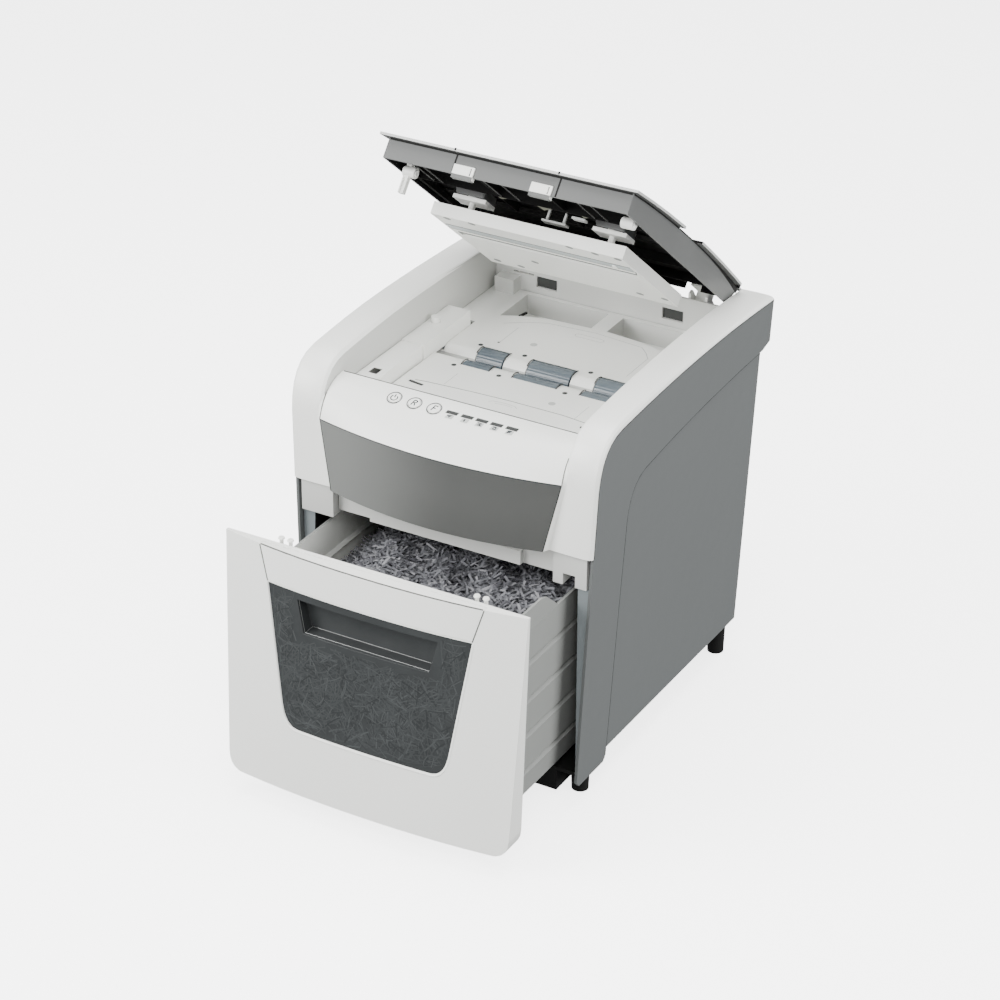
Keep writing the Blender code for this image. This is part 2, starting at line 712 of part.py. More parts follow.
def motor(housing):
    body = rod("X", (MOTOR_Y, CUTTER_HEIGHT), MOTOR_RADIUS - 0.5, -126.0, -24.0, 32)
    drive = add_part("motor", body, "steel", housing)
    fuse(drive, rod("X", (MOTOR_Y, CUTTER_HEIGHT), 10.0, -25.0, -18.0, 24))
    cut(drive, rod("X", (MOTOR_Y, CUTTER_HEIGHT), 3.0 + SHAFT_CLEARANCE, -130.0, -110.0, 24))


def control_board(housing):
    sheet = block(-75.0, 75.0, 22.0, 40.0, 358.0, 359.6)
    board = add_part("control_board", sheet, "board", housing)
    for x in BUTTON_XS:
        fuse(board, block(x - 3.0, x + 3.0, 27.0, 33.0, 359.4, 363.0))


def gear_outline(centre, module, teeth, phase):
    """Straight-sided teeth, thin enough to turn freely in mesh."""
    pitch = 2 * math.pi / teeth
    radius = module * teeth / 2
    points = []
    for k in range(teeth):
        middle = phase + k * pitch
        for share, reach in ((-0.27, -1.15), (-0.10, 0.75), (0.10, 0.75), (0.27, -1.15)):
            angle = middle + share * pitch
            size = radius + reach * module
            points.append((centre[0] + size * math.cos(angle), centre[1] + size * math.sin(angle)))
    return points


def meshing_phase(centre, teeth, phase, other_centre, other_teeth):
    """The phase that puts the other gear's gap where this gear has a tooth."""
    angle = math.atan2(other_centre[1] - centre[1], other_centre[0] - centre[0])
    share = (angle - phase) * teeth / (2 * math.pi)
    return angle + math.pi - (0.5 - share) * 2 * math.pi / other_teeth


def idler_place():
    """Where the idler meets both the rear cutter's gear and the rear roller's gear."""
    low = Vector((CUTTER_Y[1], CUTTER_HEIGHT))
    high = Vector((FEED_Y[1], ROLLER_HEIGHT))
    reach_low = GEAR_MODULE * (SYNC_TEETH + IDLER_TEETH) / 2
    reach_high = GEAR_MODULE * (FEED_TEETH + IDLER_TEETH) / 2
    span = (high - low).length
    along = (reach_low ** 2 - reach_high ** 2 + span ** 2) / (2 * span)
    aside = math.sqrt(reach_low ** 2 - along ** 2)
    direction = (high - low).normalized()
    across = Vector((direction.y, -direction.x))
    place = low + direction * along + across * aside
    return (place.x, place.y)


def gear(name, centre, module, teeth, phase, bore, left, right, marker):
    hole = [circle(centre, bore + SHAFT_CLEARANCE, 24)] if bore else []
    outline = gear_outline(centre, module, teeth, phase)
    return add_part(name, prism(outline, "X", left, right, hole), "nylon", marker)


def cutter_profile(start, stop, offset):
    """The turned shape of a cutter drum: discs on a core with a plain shaft at each end."""
    points = [(start, CUTTER_SHAFT), (-124.0, CUTTER_SHAFT), (-124.0, CORE_RADIUS)]
    place = -121.0 + offset
    while place + DISC_WIDTH < 122.0:
        points += [(place, CORE_RADIUS), (place, DISC_RADIUS), (place + DISC_WIDTH, DISC_RADIUS),
                   (place + DISC_WIDTH, CORE_RADIUS)]
        place += DISC_PITCH
    return points + [(124.0, CORE_RADIUS), (124.0, CUTTER_SHAFT), (stop, CUTTER_SHAFT)]


def cutter(name, y, start, stop, offset, marker):
    """Turned about the X axis with a Screw modifier on its profile."""
    profile = cutter_profile(start, stop, offset)
    mesh = bpy.data.meshes.new(name)
    line = [(x * MM, 0.0, radius * MM) for x, radius in profile]
    line = [(start * MM, 0.0, 0.0)] + line + [(stop * MM, 0.0, 0.0)]
    mesh.from_pydata(line, [(k, k + 1) for k in range(len(line) - 1)], [])
    drum = add_part(name, mesh, "steel", marker)
    drum.location += Vector((0.0, y, CUTTER_HEIGHT)) * MM
    turn = drum.modifiers.new("turn", "SCREW")
    turn.axis = "X"
    turn.steps = 12
    turn.render_steps = 12
    turn.use_merge_vertices = True
    turn.merge_threshold = 0.00001
    turn.use_normal_calculate = True
    turn.use_normal_flip = True
    return drum


def feed_rollers(row, y, phase, housing):
    marker = add_marker("feed_" + row + "_axis", (0.0, y, ROLLER_HEIGHT), housing)
    centre = (y, ROLLER_HEIGHT)
    add_part("feed_shaft_" + row, rod("X", centre, SHAFT_RADIUS, -132.0, 141.5, 24), "steel", marker)
    for side, (left, right) in zip(("left", "centre", "right"), roller_spans()):
        hole = [circle(centre, SHAFT_RADIUS + SHAFT_CLEARANCE, 24)]
        sleeve = prism(circle(centre, ROLLER_RADIUS, 24), "X", left, right, hole)
        add_part("feed_roller_" + row + "_" + side, sleeve, "rubber", marker)
    gear("feed_gear_" + row, centre, GEAR_MODULE, FEED_TEETH, phase, SHAFT_RADIUS, *RIGHT_GEARS, marker)


def drive_train(housing):
    centres = {
        "front": (CUTTER_Y[0], CUTTER_HEIGHT),
        "rear": (CUTTER_Y[1], CUTTER_HEIGHT),
        "idler": idler_place(),
        "feed_rear": (FEED_Y[1], ROLLER_HEIGHT),
        "feed_front": (FEED_Y[0], ROLLER_HEIGHT),
        "motor": (MOTOR_Y, CUTTER_HEIGHT),
    }
    front_phase = meshing_phase(centres["rear"], SYNC_TEETH, 0.0, centres["front"], SYNC_TEETH)
    idler_phase = meshing_phase(centres["rear"], SYNC_TEETH, 0.0, centres["idler"], IDLER_TEETH)
    feed_phase = meshing_phase(centres["idler"], IDLER_TEETH, idler_phase, centres["feed_rear"], FEED_TEETH)
    last_phase = meshing_phase(centres["feed_rear"], FEED_TEETH, feed_phase, centres["feed_front"], FEED_TEETH)
    pinion_phase = meshing_phase(centres["rear"], DRIVE_TEETH, 0.0, centres["motor"], PINION_TEETH)

    marker = add_marker("cutter_front_axis", (0.0, *centres["front"]), housing)
    cutter("cutter_front", CUTTER_Y[0], -132.0, 141.5, DISC_PITCH / 2, marker)
    gear("sync_gear_front", centres["front"], GEAR_MODULE, SYNC_TEETH, front_phase, CUTTER_SHAFT,
         *RIGHT_GEARS, marker)

    marker = add_marker("cutter_rear_axis", (0.0, *centres["rear"]), housing)
    cutter("cutter_rear", CUTTER_Y[1], -141.5, 141.5, 0.0, marker)
    gear("sync_gear_rear", centres["rear"], GEAR_MODULE, SYNC_TEETH, 0.0, CUTTER_SHAFT, *RIGHT_GEARS, marker)
    gear("drive_gear", centres["rear"], DRIVE_MODULE, DRIVE_TEETH, 0.0, CUTTER_SHAFT, *LEFT_GEARS, marker)

    marker = add_marker("idler_axis", (0.0, *centres["idler"]), housing)
    idler = gear("idler_gear", centres["idler"], GEAR_MODULE, IDLER_TEETH, idler_phase, 0.0,
                 *RIGHT_GEARS, marker)
    fuse(idler, rod("X", centres["idler"], 3.0, 124.5, 135.0, 24))

    marker = add_marker("motor_axis", (0.0, *centres["motor"]), housing)
    pinion = gear("motor_pinion", centres["motor"], DRIVE_MODULE, PINION_TEETH, pinion_phase, 0.0,
                  *LEFT_GEARS, marker)
    fuse(pinion, rod("X", centres["motor"], 3.0, -135.0, -112.0, 24))

    feed_rollers("rear", FEED_Y[1], feed_phase, housing)
    feed_rollers("front", FEED_Y[0], last_phase, housing)


def guide_frame(housing):
    """The moulded frame under the cutters, with the drawer's guides at its front corners."""
    frame = add_part("guide_frame", block(-131.0, 131.0, 20.0, 334.0, 255.0, 261.4), "white", housing)
    for front, back in ((30.0, 134.0), (140.0, 226.0), (232.0, 326.0)):
        cut(frame, block(-116.0, 116.0, front, back, 240.0, 270.0))
    front_rail = block(-119.5, 119.5, 18.0, 24.0, 245.0, 273.0)
    front_ledge = block(-81.0, 84.0, 12.0, 19.0, 245.3, 260.0)
    fuse(frame, front_rail, front_ledge)
    for left in (-156.0, 120.5):
        corner = block(left, left + 35.5, 9.0, 62.0, 240.0, 273.5)
        fuse(frame, corner)
    left_hollow = block(-149.0, -124.0, 12.0, 70.0, 238.0, 270.0)
    right_guide = block(131.0, 143.8, 6.0, 70.0, 238.0, 252.0)
    cut(frame, left_hollow, right_guide)


# ---------------------------------------------------------------- drawer

def front_face(x, z, inset=0.0):
    """Where the drawer front's face stands at a place, from its bow and its lean."""
    drop = (DRAWER_TOP - z) / (DRAWER_TOP - DRAWER_BOTTOM)
    half = DRAWER_HALF_TOP + (DRAWER_HALF_BOTTOM - DRAWER_HALF_TOP) * drop
    edge = FRONT_EDGE_TOP + (FRONT_EDGE_BOTTOM - FRONT_EDGE_TOP) * drop
    bow = FRONT_BOW_TOP + (FRONT_BOW_BOTTOM - FRONT_BOW_TOP) * drop
    return edge - bow * (1.0 - min(1.0, abs(x) / half) ** 2.2) + inset


def bowed_slab(front_inset, back, top, bottom, half_top, half_bottom):
    """A block whose front follows the drawer's face; back is a plane or an inset from the face."""
    flat = prism(rectangle(-1.0, 1.0, 0.0, 1.0), "Z", bottom, top)
    flat = slice_across(flat, "X", spread(-1.0, 1.0, 14)[1:-1])
    flat = slice_across(flat, "Z", [0.5 * (bottom + top)])

    def shape(x, y, z):
        share = (top - z) / (top - bottom)
        wide = x * (half_top + (half_bottom - half_top) * share)
        if y < 0.5:
            return (wide, front_face(wide, z, front_inset), z)
        return (wide, back(wide, z), z)

    return reshape(flat, shape)


def lower_corner(side):
    """What is cut away outside one round lower corner of the drawer front."""
    half = DRAWER_HALF_BOTTOM
    round_edge = bend((half + 0.5, 42.0), (half, DRAWER_BOTTOM), (136.0, DRAWER_BOTTOM - 0.5), 5)
    outside = [(136.0, DRAWER_BOTTOM - 9.0), (half + 15.0, DRAWER_BOTTOM - 9.0), (half + 15.0, 42.0)]
    return prism([(x * side, z) for x, z in round_edge + outside], "Y", -60.0, 20.0)


def window_outline(shrink=0.0):
    s = shrink
    right = bend((91.0 - s, 116.0), (87.0 - s, 93.0 + s), (73.0 - s, 93.0 + s), 4)
    left = [(-x, z) for x, z in right]
    return [(-110.0 + s, 238.5 - s)] + left + list(reversed(right)) + [(110.0 - s, 238.5 - s)]


def insert_outline(shrink, top):
    """The outline splays upwards; shrink moves all of it inwards but the top."""
    foot = 239.5
    narrow = 110.0 - shrink
    wide = narrow + 10.0 * (top - foot) / (DRAWER_TOP - foot)
    return [(-wide, top), (-narrow, foot + shrink), (narrow, foot + shrink), (wide, top)]


def flat_back(x, z):
    return DRAWER_BACK


def drawer_front(drawer):
    shell = bowed_slab(0.0, flat_back, DRAWER_TOP, DRAWER_BOTTOM, DRAWER_HALF_TOP, DRAWER_HALF_BOTTOM)
    front = add_part("drawer_front", shell, "white", drawer)
    cut(front, lower_corner(-1), lower_corner(1))
    hollow = bowed_slab(FRONT_WALL, lambda x, z: 8.0, DRAWER_TOP - 2.4, DRAWER_BOTTOM + 3.0,
                        DRAWER_HALF_TOP - 3.0, DRAWER_HALF_BOTTOM - 3.0)
    cut(front, hollow)
    cut(front, prism(window_outline(), "Y", -70.0, 20.0))
    cut(front, prism(insert_outline(0.0, DRAWER_TOP + 5.0), "Y", -70.0, -5.2))


def drawer_insert(drawer):
    """The middle of the front's top band, a shell that is open to the back."""
    shell = bowed_plug(insert_outline(0.35, DRAWER_TOP), 0.0, -5.6)
    insert = add_part("drawer_insert", shell, "white", drawer)
    cut(insert, bowed_plug(insert_outline(2.8, DRAWER_TOP - 2.4), 2.4, 8.0))


def drawer_window(drawer):
    """The smoked window with the scoop for the fingers behind its upper half."""
    sheet = bowed_slab(0.9, lambda x, z: front_face(x, z, 2.9), 245.0, 90.0, 112.0, 112.0)
    window = add_part("drawer_window", sheet, "smoke", drawer)
    keep(window, prism(window_outline(0.35), "Y", -70.0, 10.0))
    scoop = [(-77.0, 232.0), (-69.0, 196.0), (69.0, 196.0), (77.0, 232.0)]
    inner = [(-75.4, 230.4), (-67.8, 197.6), (67.8, 197.6), (75.4, 230.4)]
    fuse(window, bowed_plug(scoop, 1.5, -4.0))
    cut(window, bowed_plug(inner, -6.0, -5.6))


def bowed_plug(outline, inset, back):
    """A plug with the given front outline, from just behind the face to a plane."""
    plug = prism(outline, "Y", 0.0, 1.0)
    reach = max(x for x, z in outline)
    plug = slice_across(plug, "X", spread(-reach, reach, 12)[1:-1])

    def shape(x, y, z):
        if y < 0.5:
            return (x, front_face(x, z, inset), z)
        return (x, back, z)

    return reshape(plug, shape)


def wall_line(inset):
    """One side of the bin from its rim down to its floor, with its grooves."""
    points = [(BIN_HALF - inset, BIN_TOP)]
    for z in BIN_GROOVES:
        lean = 0.025 * (BIN_TOP - z)
        x = BIN_HALF - inset - lean
        points += [(x, z + 4.0), (x - 2.6, z), (x - 0.1, z - 3.0)]
    points.append((BIN_HALF - inset - 6.0, BIN_BOTTOM + 4.0))
    return points


def bin_outline(inset, floor, rim):
    right = wall_line(inset)
    right[0] = (right[0][0], rim)
    right += [(BIN_HALF - inset - 10.0, floor)]
    left = [(-x, z) for x, z in reversed(right)]
    return right + left


def bin_body(drawer):
    outer = prism(bin_outline(0.0, BIN_BOTTOM, BIN_TOP), "Y", 0.0, BIN_REAR)
    body = add_part("bin", outer, "bin_grey", drawer)
    inside = bin_outline(BIN_WALL, BIN_BOTTOM + BIN_WALL, BIN_TOP + 9.0)
    cut(body, prism(inside, "Y", BIN_WALL, BIN_REAR - BIN_WALL))
    front_gap = block(-112.0, 112.0, -8.0, 12.0, 84.0, 240.0)
    cut(body, front_gap)
    tab = [(0.2, 222.0), (0.2, 249.5), (70.0, 249.5), (80.0, 246.0), (100.0, BIN_TOP + 1.0), (100.0, 222.0)]
    fuse(body, prism(tab, "X", BIN_HALF - BIN_WALL, BIN_HALF - 0.2))


# ---------------------------------------------------------------- lid

def lid_top(y, rise):
    return crown(y) + rise


def crowned_outline(front, back, low, high, steps=8):
    places = spread(front, back, steps)
    upper = [(y, lid_top(y, high)) for y in places]
    lower = [(y, lid_top(y, low)) for y in reversed(places)]
    return upper + lower


def skirt_outline(rise):
    upper = [(y, lid_top(y, rise)) for y in spread(LID_FRONT, 349.0, 8)]
    return upper + [(329.0, SKIRT_BOTTOM), (LID_FRONT, SKIRT_BOTTOM)]


def lid_cavity_outline(rise):
    places = spread(LID_FRONT + LID_SKIN, 362.0, 8)
    return [(y, lid_top(y, rise)) for y in places] + [(362.0, 365.0), (LID_FRONT + LID_SKIN, 365.0)]


def lid_shell(lid):
    under = FLANGE_TOP - FLANGE_THICK
    skirt = prism(skirt_outline(under + 0.6), "X", -LID_HALF, LID_HALF)
    shell = add_part("lid_shell", skirt, "white", lid)
    inside = LID_HALF - LID_SKIN
    cut(shell, prism(lid_cavity_outline(under), "X", -inside, inside))
    fuse(shell, prism(crowned_outline(42.0, 357.0, under, FLANGE_TOP), "X", -FLANGE_HALF, FLANGE_HALF))
    fuse(shell, block(-129.9, 129.9, 164.0, 216.5, 389.0, 405.6))
    cut(shell, prism(feed_trough_outline(), "X", -108.0, 108.0))
    cut(shell, prism([(167.0, 404.6), (214.0, 404.2), (216.0, 415.0), (165.0, 415.0)], "X", -150.0, 150.0))
    cut(shell, block(-CATCH_HALF, CATCH_HALF, 30.0, 56.0, 370.0, 420.0))
    for left, right in ((-140.0, -130.2), (130.2, 140.0)):
        cut(shell, block(left, right, 336.0, 362.0, 380.0, 420.0))


def feed_trough_outline():
    """The sloped trough that leads single sheets through the closed lid."""
    return [(170.0, 406.0), (181.5, 396.0), (181.5, 380.0), (189.5, 380.0), (189.5, 396.0), (211.0, 406.0)]


def lid_catch(lid):
    """The middle of the lid's front edge, with the two catches under it."""
    half = CATCH_HALF - 0.4
    top = prism(crowned_outline(42.0, 55.6, FLANGE_TOP - FLANGE_THICK, FLANGE_TOP, 2), "X", -half, half)
    catch = add_part("lid_catch", top, "white", lid)
    fuse(catch, block(-half, half, LID_FRONT, LID_FRONT + LID_SKIN, SKIRT_BOTTOM, lid_top(LID_FRONT, 8.2)))
    for left in (-54.5, 28.0):
        fuse(catch, block(left, left + 22.0, LID_FRONT - 0.9, LID_FRONT + 5.0, 375.5, 388.0))


def lid_frame(lid):
    """The dark ribbed moulding inside the lid."""
    frame = add_part("lid_frame", block(-126.5, 126.5, 58.0, 322.0, 391.0, 393.4), "black", lid)
    for y in (62.0, 112.0, 228.0, 286.0, 318.0):
        fuse(frame, block(-124.0, 124.0, y, y + 2.0, 382.0, 391.5))
    for x in (-36.0, 36.0):
        fuse(frame, block(x, x + 2.0, 60.0, 320.0, 383.0, 391.5))
    for left in (-124.0, 119.5):
        fuse(frame, block(left, left + 4.5, 111.0, 231.0, 382.0, 388.3))
    cut(frame, block(-119.0, 119.0, 163.4, 217.0, 378.0, 400.0))
    cut(frame, block(-131.0, 131.0, 163.4, 217.0, 388.6, 400.0))
    for x in (-POST_X, POST_X):
        cut(frame, rod("Z", (x, POST_Y), 5.0, 370.0, 400.0, 24))
    for x in (-ARM_X, ARM_X):
        cut(frame, block(x - 8.5, x + 8.5, 300.0, 330.0, 380.0, 400.0))
    cut(frame, block(-125.0, -111.0, 78.0, 92.0, 376.0, 400.0))


def plate_guides(lid):
    for name, x in (("plate_guide_left", -POST_X), ("plate_guide_right", POST_X)):
        foot = block(x - 18.0, x + 18.0, POST_Y - 11.0, POST_Y + 11.0, 377.5, 381.5)
        guide = add_part(name, foot, "white", lid)
        fuse(guide, rod("Z", (x, POST_Y), 7.0, 381.0, 390.7, 24))
        cut(guide, rod("Z", (x, POST_Y), 3.4 + SHAFT_CLEARANCE, 370.0, 395.0, 24))


def lid_hook(lid):
    hook = add_part("lid_hook", block(-121.0, -115.0, 82.0, 88.0, 357.0, 396.0), "white", lid)
    cut(hook, block(-119.5, -116.5, 80.0, 83.5, 350.0, 372.0))


def hinge_arms(lid):
    """Each arm turns on its own stub pins in the bracket's ears."""
    elbow = [(346.4, 373.0), (346.4, 388.0), (326.0, 388.0), (326.0, 398.0), (350.0, 398.0), (357.6, 392.0),
             (357.6, 373.0)]
    for name, middle in (("hinge_arm_right", ARM_X), ("hinge_arm_left", -ARM_X)):
        arm = add_part(name, prism(elbow, "X", middle - 7.0, middle + 7.0), "white", lid)
        fuse(arm, rod("X", HINGE, 6.4, middle - 7.0, middle + 7.0, 24))
        fuse(arm, rod("X", HINGE, PIN_RADIUS, middle - 11.5, middle + 11.5, 24))


def pressure_plate(lid):
    marker = add_marker("plate_travel", (0.0, POST_Y, PLATE_TOP), lid)
    slab = block(-PLATE_HALF, PLATE_HALF, PLATE_FRONT, PLATE_REAR, PLATE_BOTTOM, PLATE_TOP)
    plate = add_part("pressure_plate", slab, "white", marker)
    skin = 2.5
    cut(plate, block(-PLATE_HALF + skin, PLATE_HALF - skin, PLATE_FRONT + skin, PLATE_REAR - skin,
                     PLATE_BOTTOM + skin, 372.0))
    paper_slot = block(-97.0, 97.0, 181.0, 190.0, 350.0, 360.0)
    cut(plate, paper_slot)
    for x in (-POST_X, POST_X):
        fuse(plate, rod("Z", (x, POST_Y), 6.0, PLATE_BOTTOM + 2.0, 370.0, 24))
        fuse(plate, rod("Z", (x, POST_Y), 3.4, 369.0, 391.5, 24))


# ---------------------------------------------------------------- assembly

def build():
    clear_scene()
    housing = add_marker("shredder_origin", (0.0, 0.0, 0.0))
    base_pan(housing)
    feet(housing)
    side_panels(housing)
    inner_pillars(housing)
    rear_panel(housing)
    power_inlet(housing)
    arch_covers(housing)
    control_fascia(housing)
    buttons(housing)
    front_panel(housing)
    guide_frame(housing)
    feed_bed_front(housing)
    feed_bed_rear(housing)
    sensor_boxes(housing)
    interlock_plunger(housing)
    hinge_brackets(housing)
    chassis_plates(housing)
    motor(housing)
    control_board(housing)
    drive_train(housing)

    drawer = add_marker("drawer_slide", (0.0, 0.0, BIN_BOTTOM), housing)
    drawer_front(drawer)
    drawer_insert(drawer)
    drawer_window(drawer)
    bin_body(drawer)

    lid = add_marker("lid_hinge", (0.0, *HINGE), housing)
    lid_shell(lid)
    lid_catch(lid)
    lid_frame(lid)
    plate_guides(lid)
    lid_hook(lid)
    hinge_arms(lid)
    pressure_plate(lid)

    lid.rotation_euler.x = -math.radians(LID_OPEN_DEGREES)
    drawer.location.y -= DRAWER_OPEN * MM
    housing.location.y -= CENTRE_Y * MM


clear_scene()
PARTS = make_group("paper_shredder")
CUTTERS = make_group("cutters")
build()
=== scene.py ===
"""Looks for the paper shredder: finer shapes, materials, shreds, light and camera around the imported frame.

Pieces are drawn in millimetres in the machine's own drawing: X to the right, Y back from the front
lower corner of the side panels, Z up, with the lid and the drawer closed. The helpers below then
put them where their body stands at rest, in metres.
"""
import json
import math
import random

import bmesh
import bpy
from mathutils import Matrix, Vector


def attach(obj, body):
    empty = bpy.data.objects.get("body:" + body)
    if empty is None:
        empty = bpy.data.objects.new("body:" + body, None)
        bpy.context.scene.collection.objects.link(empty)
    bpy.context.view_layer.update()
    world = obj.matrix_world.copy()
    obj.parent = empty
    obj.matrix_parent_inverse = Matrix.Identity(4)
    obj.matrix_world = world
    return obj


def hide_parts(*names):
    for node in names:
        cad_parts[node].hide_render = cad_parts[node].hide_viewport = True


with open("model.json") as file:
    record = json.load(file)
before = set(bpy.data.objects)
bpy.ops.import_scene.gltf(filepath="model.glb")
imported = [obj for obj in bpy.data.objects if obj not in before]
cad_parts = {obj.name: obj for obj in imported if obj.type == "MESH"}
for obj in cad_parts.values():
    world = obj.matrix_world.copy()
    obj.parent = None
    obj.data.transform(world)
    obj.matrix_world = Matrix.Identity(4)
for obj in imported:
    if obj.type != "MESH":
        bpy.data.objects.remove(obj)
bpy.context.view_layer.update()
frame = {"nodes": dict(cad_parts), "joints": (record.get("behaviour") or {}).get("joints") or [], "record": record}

MM = 0.001
NODES = frame["nodes"]
JOINTS = {joint["name"]: joint for joint in frame["joints"]}


# ---------------------------------------------------------------- places

HINGE_DRAWN = Vector((0.0, 352.0, 373.0))
HINGE = Vector(JOINTS["lid_hinge"]["pos_m"])
CENTRE = HINGE_DRAWN * MM - HINGE
LID_ANGLE = math.radians(JOINTS["lid_hinge"]["range_deg"][0])
DRAWER_OPEN = JOINTS["drawer_slide"]["range_m"][0]

TO_ROW = Matrix.Translation(-CENTRE) @ Matrix.Scale(MM, 4)
LID_POSE = Matrix.Translation(HINGE) @ Matrix.Rotation(LID_ANGLE, 4, "X") @ Matrix.Translation(-HINGE)
PLACES = {
    "drawer": Matrix.Translation((0.0, DRAWER_OPEN, 0.0)) @ TO_ROW,
    "lid": LID_POSE @ TO_ROW,
    "plate": LID_POSE @ TO_ROW,
}


def place_of(body):
    """From the drawing's millimetres to the row frame, where this body stands at rest."""
    return PLACES.get(body, TO_ROW)


# ---------------------------------------------------------------- materials

def node(tree, kind, **inputs):
    made = tree.nodes.new("ShaderNode" + kind)
    for name, value in inputs.items():
        made.inputs[name.replace("_", " ")].default_value = value
    return made


def shaded(name, roughness, metallic=0.0, coat=0.0, specular=0.5):
    """A new material with its Principled shader and its object coordinates."""
    material = bpy.data.materials.new(name)
    material.use_nodes = True
    tree = material.node_tree
    shader = tree.nodes["Principled BSDF"]
    shader.inputs["Roughness"].default_value = roughness
    shader.inputs["Metallic"].default_value = metallic
    shader.inputs["Coat Weight"].default_value = coat
    shader.inputs["Specular IOR Level"].default_value = specular
    where = tree.nodes.new("ShaderNodeTexCoord").outputs["Object"]
    return material, tree, shader, where


def noise(tree, where, scale, detail=3.0, roughness=0.5):
    made = node(tree, "TexNoise", Scale=scale, Detail=detail, Roughness=roughness)
    tree.links.new(where, made.inputs["Vector"])
    return made.outputs["Fac"]


def spread_colour(tree, factor, low, high, colours):
    """Colours between two shades, over the factor's middle range."""
    ramp = tree.nodes.new("ShaderNodeValToRGB")
    ramp.color_ramp.elements[0].position = low
    ramp.color_ramp.elements[1].position = high
    ramp.color_ramp.elements[0].color = (*colours[0], 1.0)
    ramp.color_ramp.elements[1].color = (*colours[1], 1.0)
    tree.links.new(factor, ramp.inputs["Fac"])
    return ramp.outputs["Color"]


def spread_value(tree, factor, low, high):
    mapped = node(tree, "MapRange", To_Min=low, To_Max=high, From_Min=0.25, From_Max=0.75)
    tree.links.new(factor, mapped.inputs["Value"])
    return mapped.outputs["Result"]


def bump(tree, shader, height, strength, distance):
    made = node(tree, "Bump", Strength=strength, Distance=distance)
    tree.links.new(height, made.inputs["Height"])
    tree.links.new(made.outputs["Normal"], shader.inputs["Normal"])
    return made


def tint(colour, factor):
    return tuple(min(1.0, channel * factor) for channel in colour)


def moulded(name, colour, roughness=0.42, grain=0.25, coat=0.0, spread=0.012, specular=0.5):
    """Moulded plastic: cloudy colour within a few per cent, spark-eroded grain, uneven gloss."""
    material, tree, shader, where = shaded(name, roughness, coat=coat, specular=specular)
    cloud = noise(tree, where, 6.0, 3.0)
    shades = (tint(colour, 1.0 - spread), tint(colour, 1.0 + spread))
    tree.links.new(spread_colour(tree, cloud, 0.3, 0.7, shades), shader.inputs["Base Color"])
    gloss = noise(tree, where, 55.0, 2.0)
    tree.links.new(spread_value(tree, gloss, roughness - 0.02, roughness + 0.02), shader.inputs["Roughness"])
    bump(tree, shader, noise(tree, where, 1900.0, 2.0), grain, 0.00005)
    return material


def steel(name, colour=(0.55, 0.56, 0.58)):
    material, tree, shader, where = shaded(name, 0.32, metallic=1.0)
    stretch = node(tree, "Mapping", Scale=(40.0, 900.0, 900.0))
    tree.links.new(where, stretch.inputs["Vector"])
    lines = noise(tree, stretch.outputs["Vector"], 1.0, 4.0)
    shades = (tint(colour, 0.85), colour)
    tree.links.new(spread_colour(tree, lines, 0.3, 0.7, shades), shader.inputs["Base Color"])
    tree.links.new(spread_value(tree, lines, 0.24, 0.42), shader.inputs["Roughness"])
    bump(tree, shader, lines, 0.2, 0.0001)
    return material


def painted_shade_along_x(name, pale, dark, first, last, roughness, coat):
    """Moulded plastic with painted shade: it darkens along X between two places in metres."""
    material = moulded(name, pale, roughness, 0.15, coat=coat)
    tree = material.node_tree
    where = tree.nodes.new("ShaderNodeTexCoord").outputs["Object"]
    parts = tree.nodes.new("ShaderNodeSeparateXYZ")
    tree.links.new(where, parts.inputs["Vector"])
    place = node(tree, "MapRange", From_Min=first, From_Max=last)
    place.interpolation_type = "SMOOTHSTEP"
    tree.links.new(parts.outputs["X"], place.inputs["Value"])
    shades = spread_colour(tree, place.outputs["Result"], 0.0, 1.0, (pale, dark))
    tree.links.new(shades, tree.nodes["Principled BSDF"].inputs["Base Color"])
    return material


WHITE = moulded("white_plastic", (0.90, 0.905, 0.865), 0.36, 0.22, coat=0.06)
SIDE = moulded("side_plastic", (0.118, 0.125, 0.124), 0.46, 0.45, specular=0.35)
# Painted shade: the front panel darkens towards the right.
PANEL_PAINTED_SHADE = painted_shade_along_x("panel_plastic_painted_shade", (0.166, 0.171, 0.163), (0.066, 0.068, 0.065), -0.12, 0.03, 0.32, 0.0)
PILLAR = moulded("pillar_plastic", (0.20, 0.225, 0.235), 0.4, 0.3)
BIN = moulded("bin_plastic", (0.255, 0.262, 0.25), 0.5, 0.3)
# Painted light: a paler white for the bin's inside, where light falls in.
BIN_INSIDE_PAINTED_LIGHT = moulded("bin_inside_painted_light", (0.86, 0.87, 0.82), 0.5, 0.2)
# Black plastic, also used as painted shade where the inside of the machine is dark.
BLACK_AND_SHADE = moulded("black_plastic_and_painted_shade", (0.006, 0.006, 0.0055), 0.6, 0.4, specular=0.2)
RUBBER = moulded("roller_rubber", (0.10, 0.125, 0.145), 0.26, 0.4, coat=0.4)
NYLON = moulded("gear_nylon", (0.70, 0.70, 0.66), 0.5, 0.2)
BOARD = moulded("board_green", (0.03, 0.16, 0.08), 0.4, 0.3)
STEEL = steel("machined_steel")


def smoked(name, low, high):
    """Smoked plastic in front of the heap, or one shade of the strips seen through it."""
    material, tree, shader, where = shaded(name, 0.22, specular=0.22)
    cloud = noise(tree, where, 30.0)
    shades = (tint((0.93, 1.0, 1.01), low), tint((0.93, 1.0, 1.01), high))
    tree.links.new(spread_colour(tree, cloud, 0.3, 0.7, shades), shader.inputs["Base Color"])
    return material


def paper(name, colour):
    """One shade of paper, faintly blotched and fibrous."""
    material, tree, shader, where = shaded(name, 0.7, specular=0.3)
    blotch = noise(tree, where, 40.0, 3.0)
    shades = (tint(colour, 0.88), tint(colour, 1.12))
    tree.links.new(spread_colour(tree, blotch, 0.3, 0.7, shades), shader.inputs["Base Color"])
    bump(tree, shader, noise(tree, where, 2600.0, 2.0), 0.3, 0.00005)
    return material


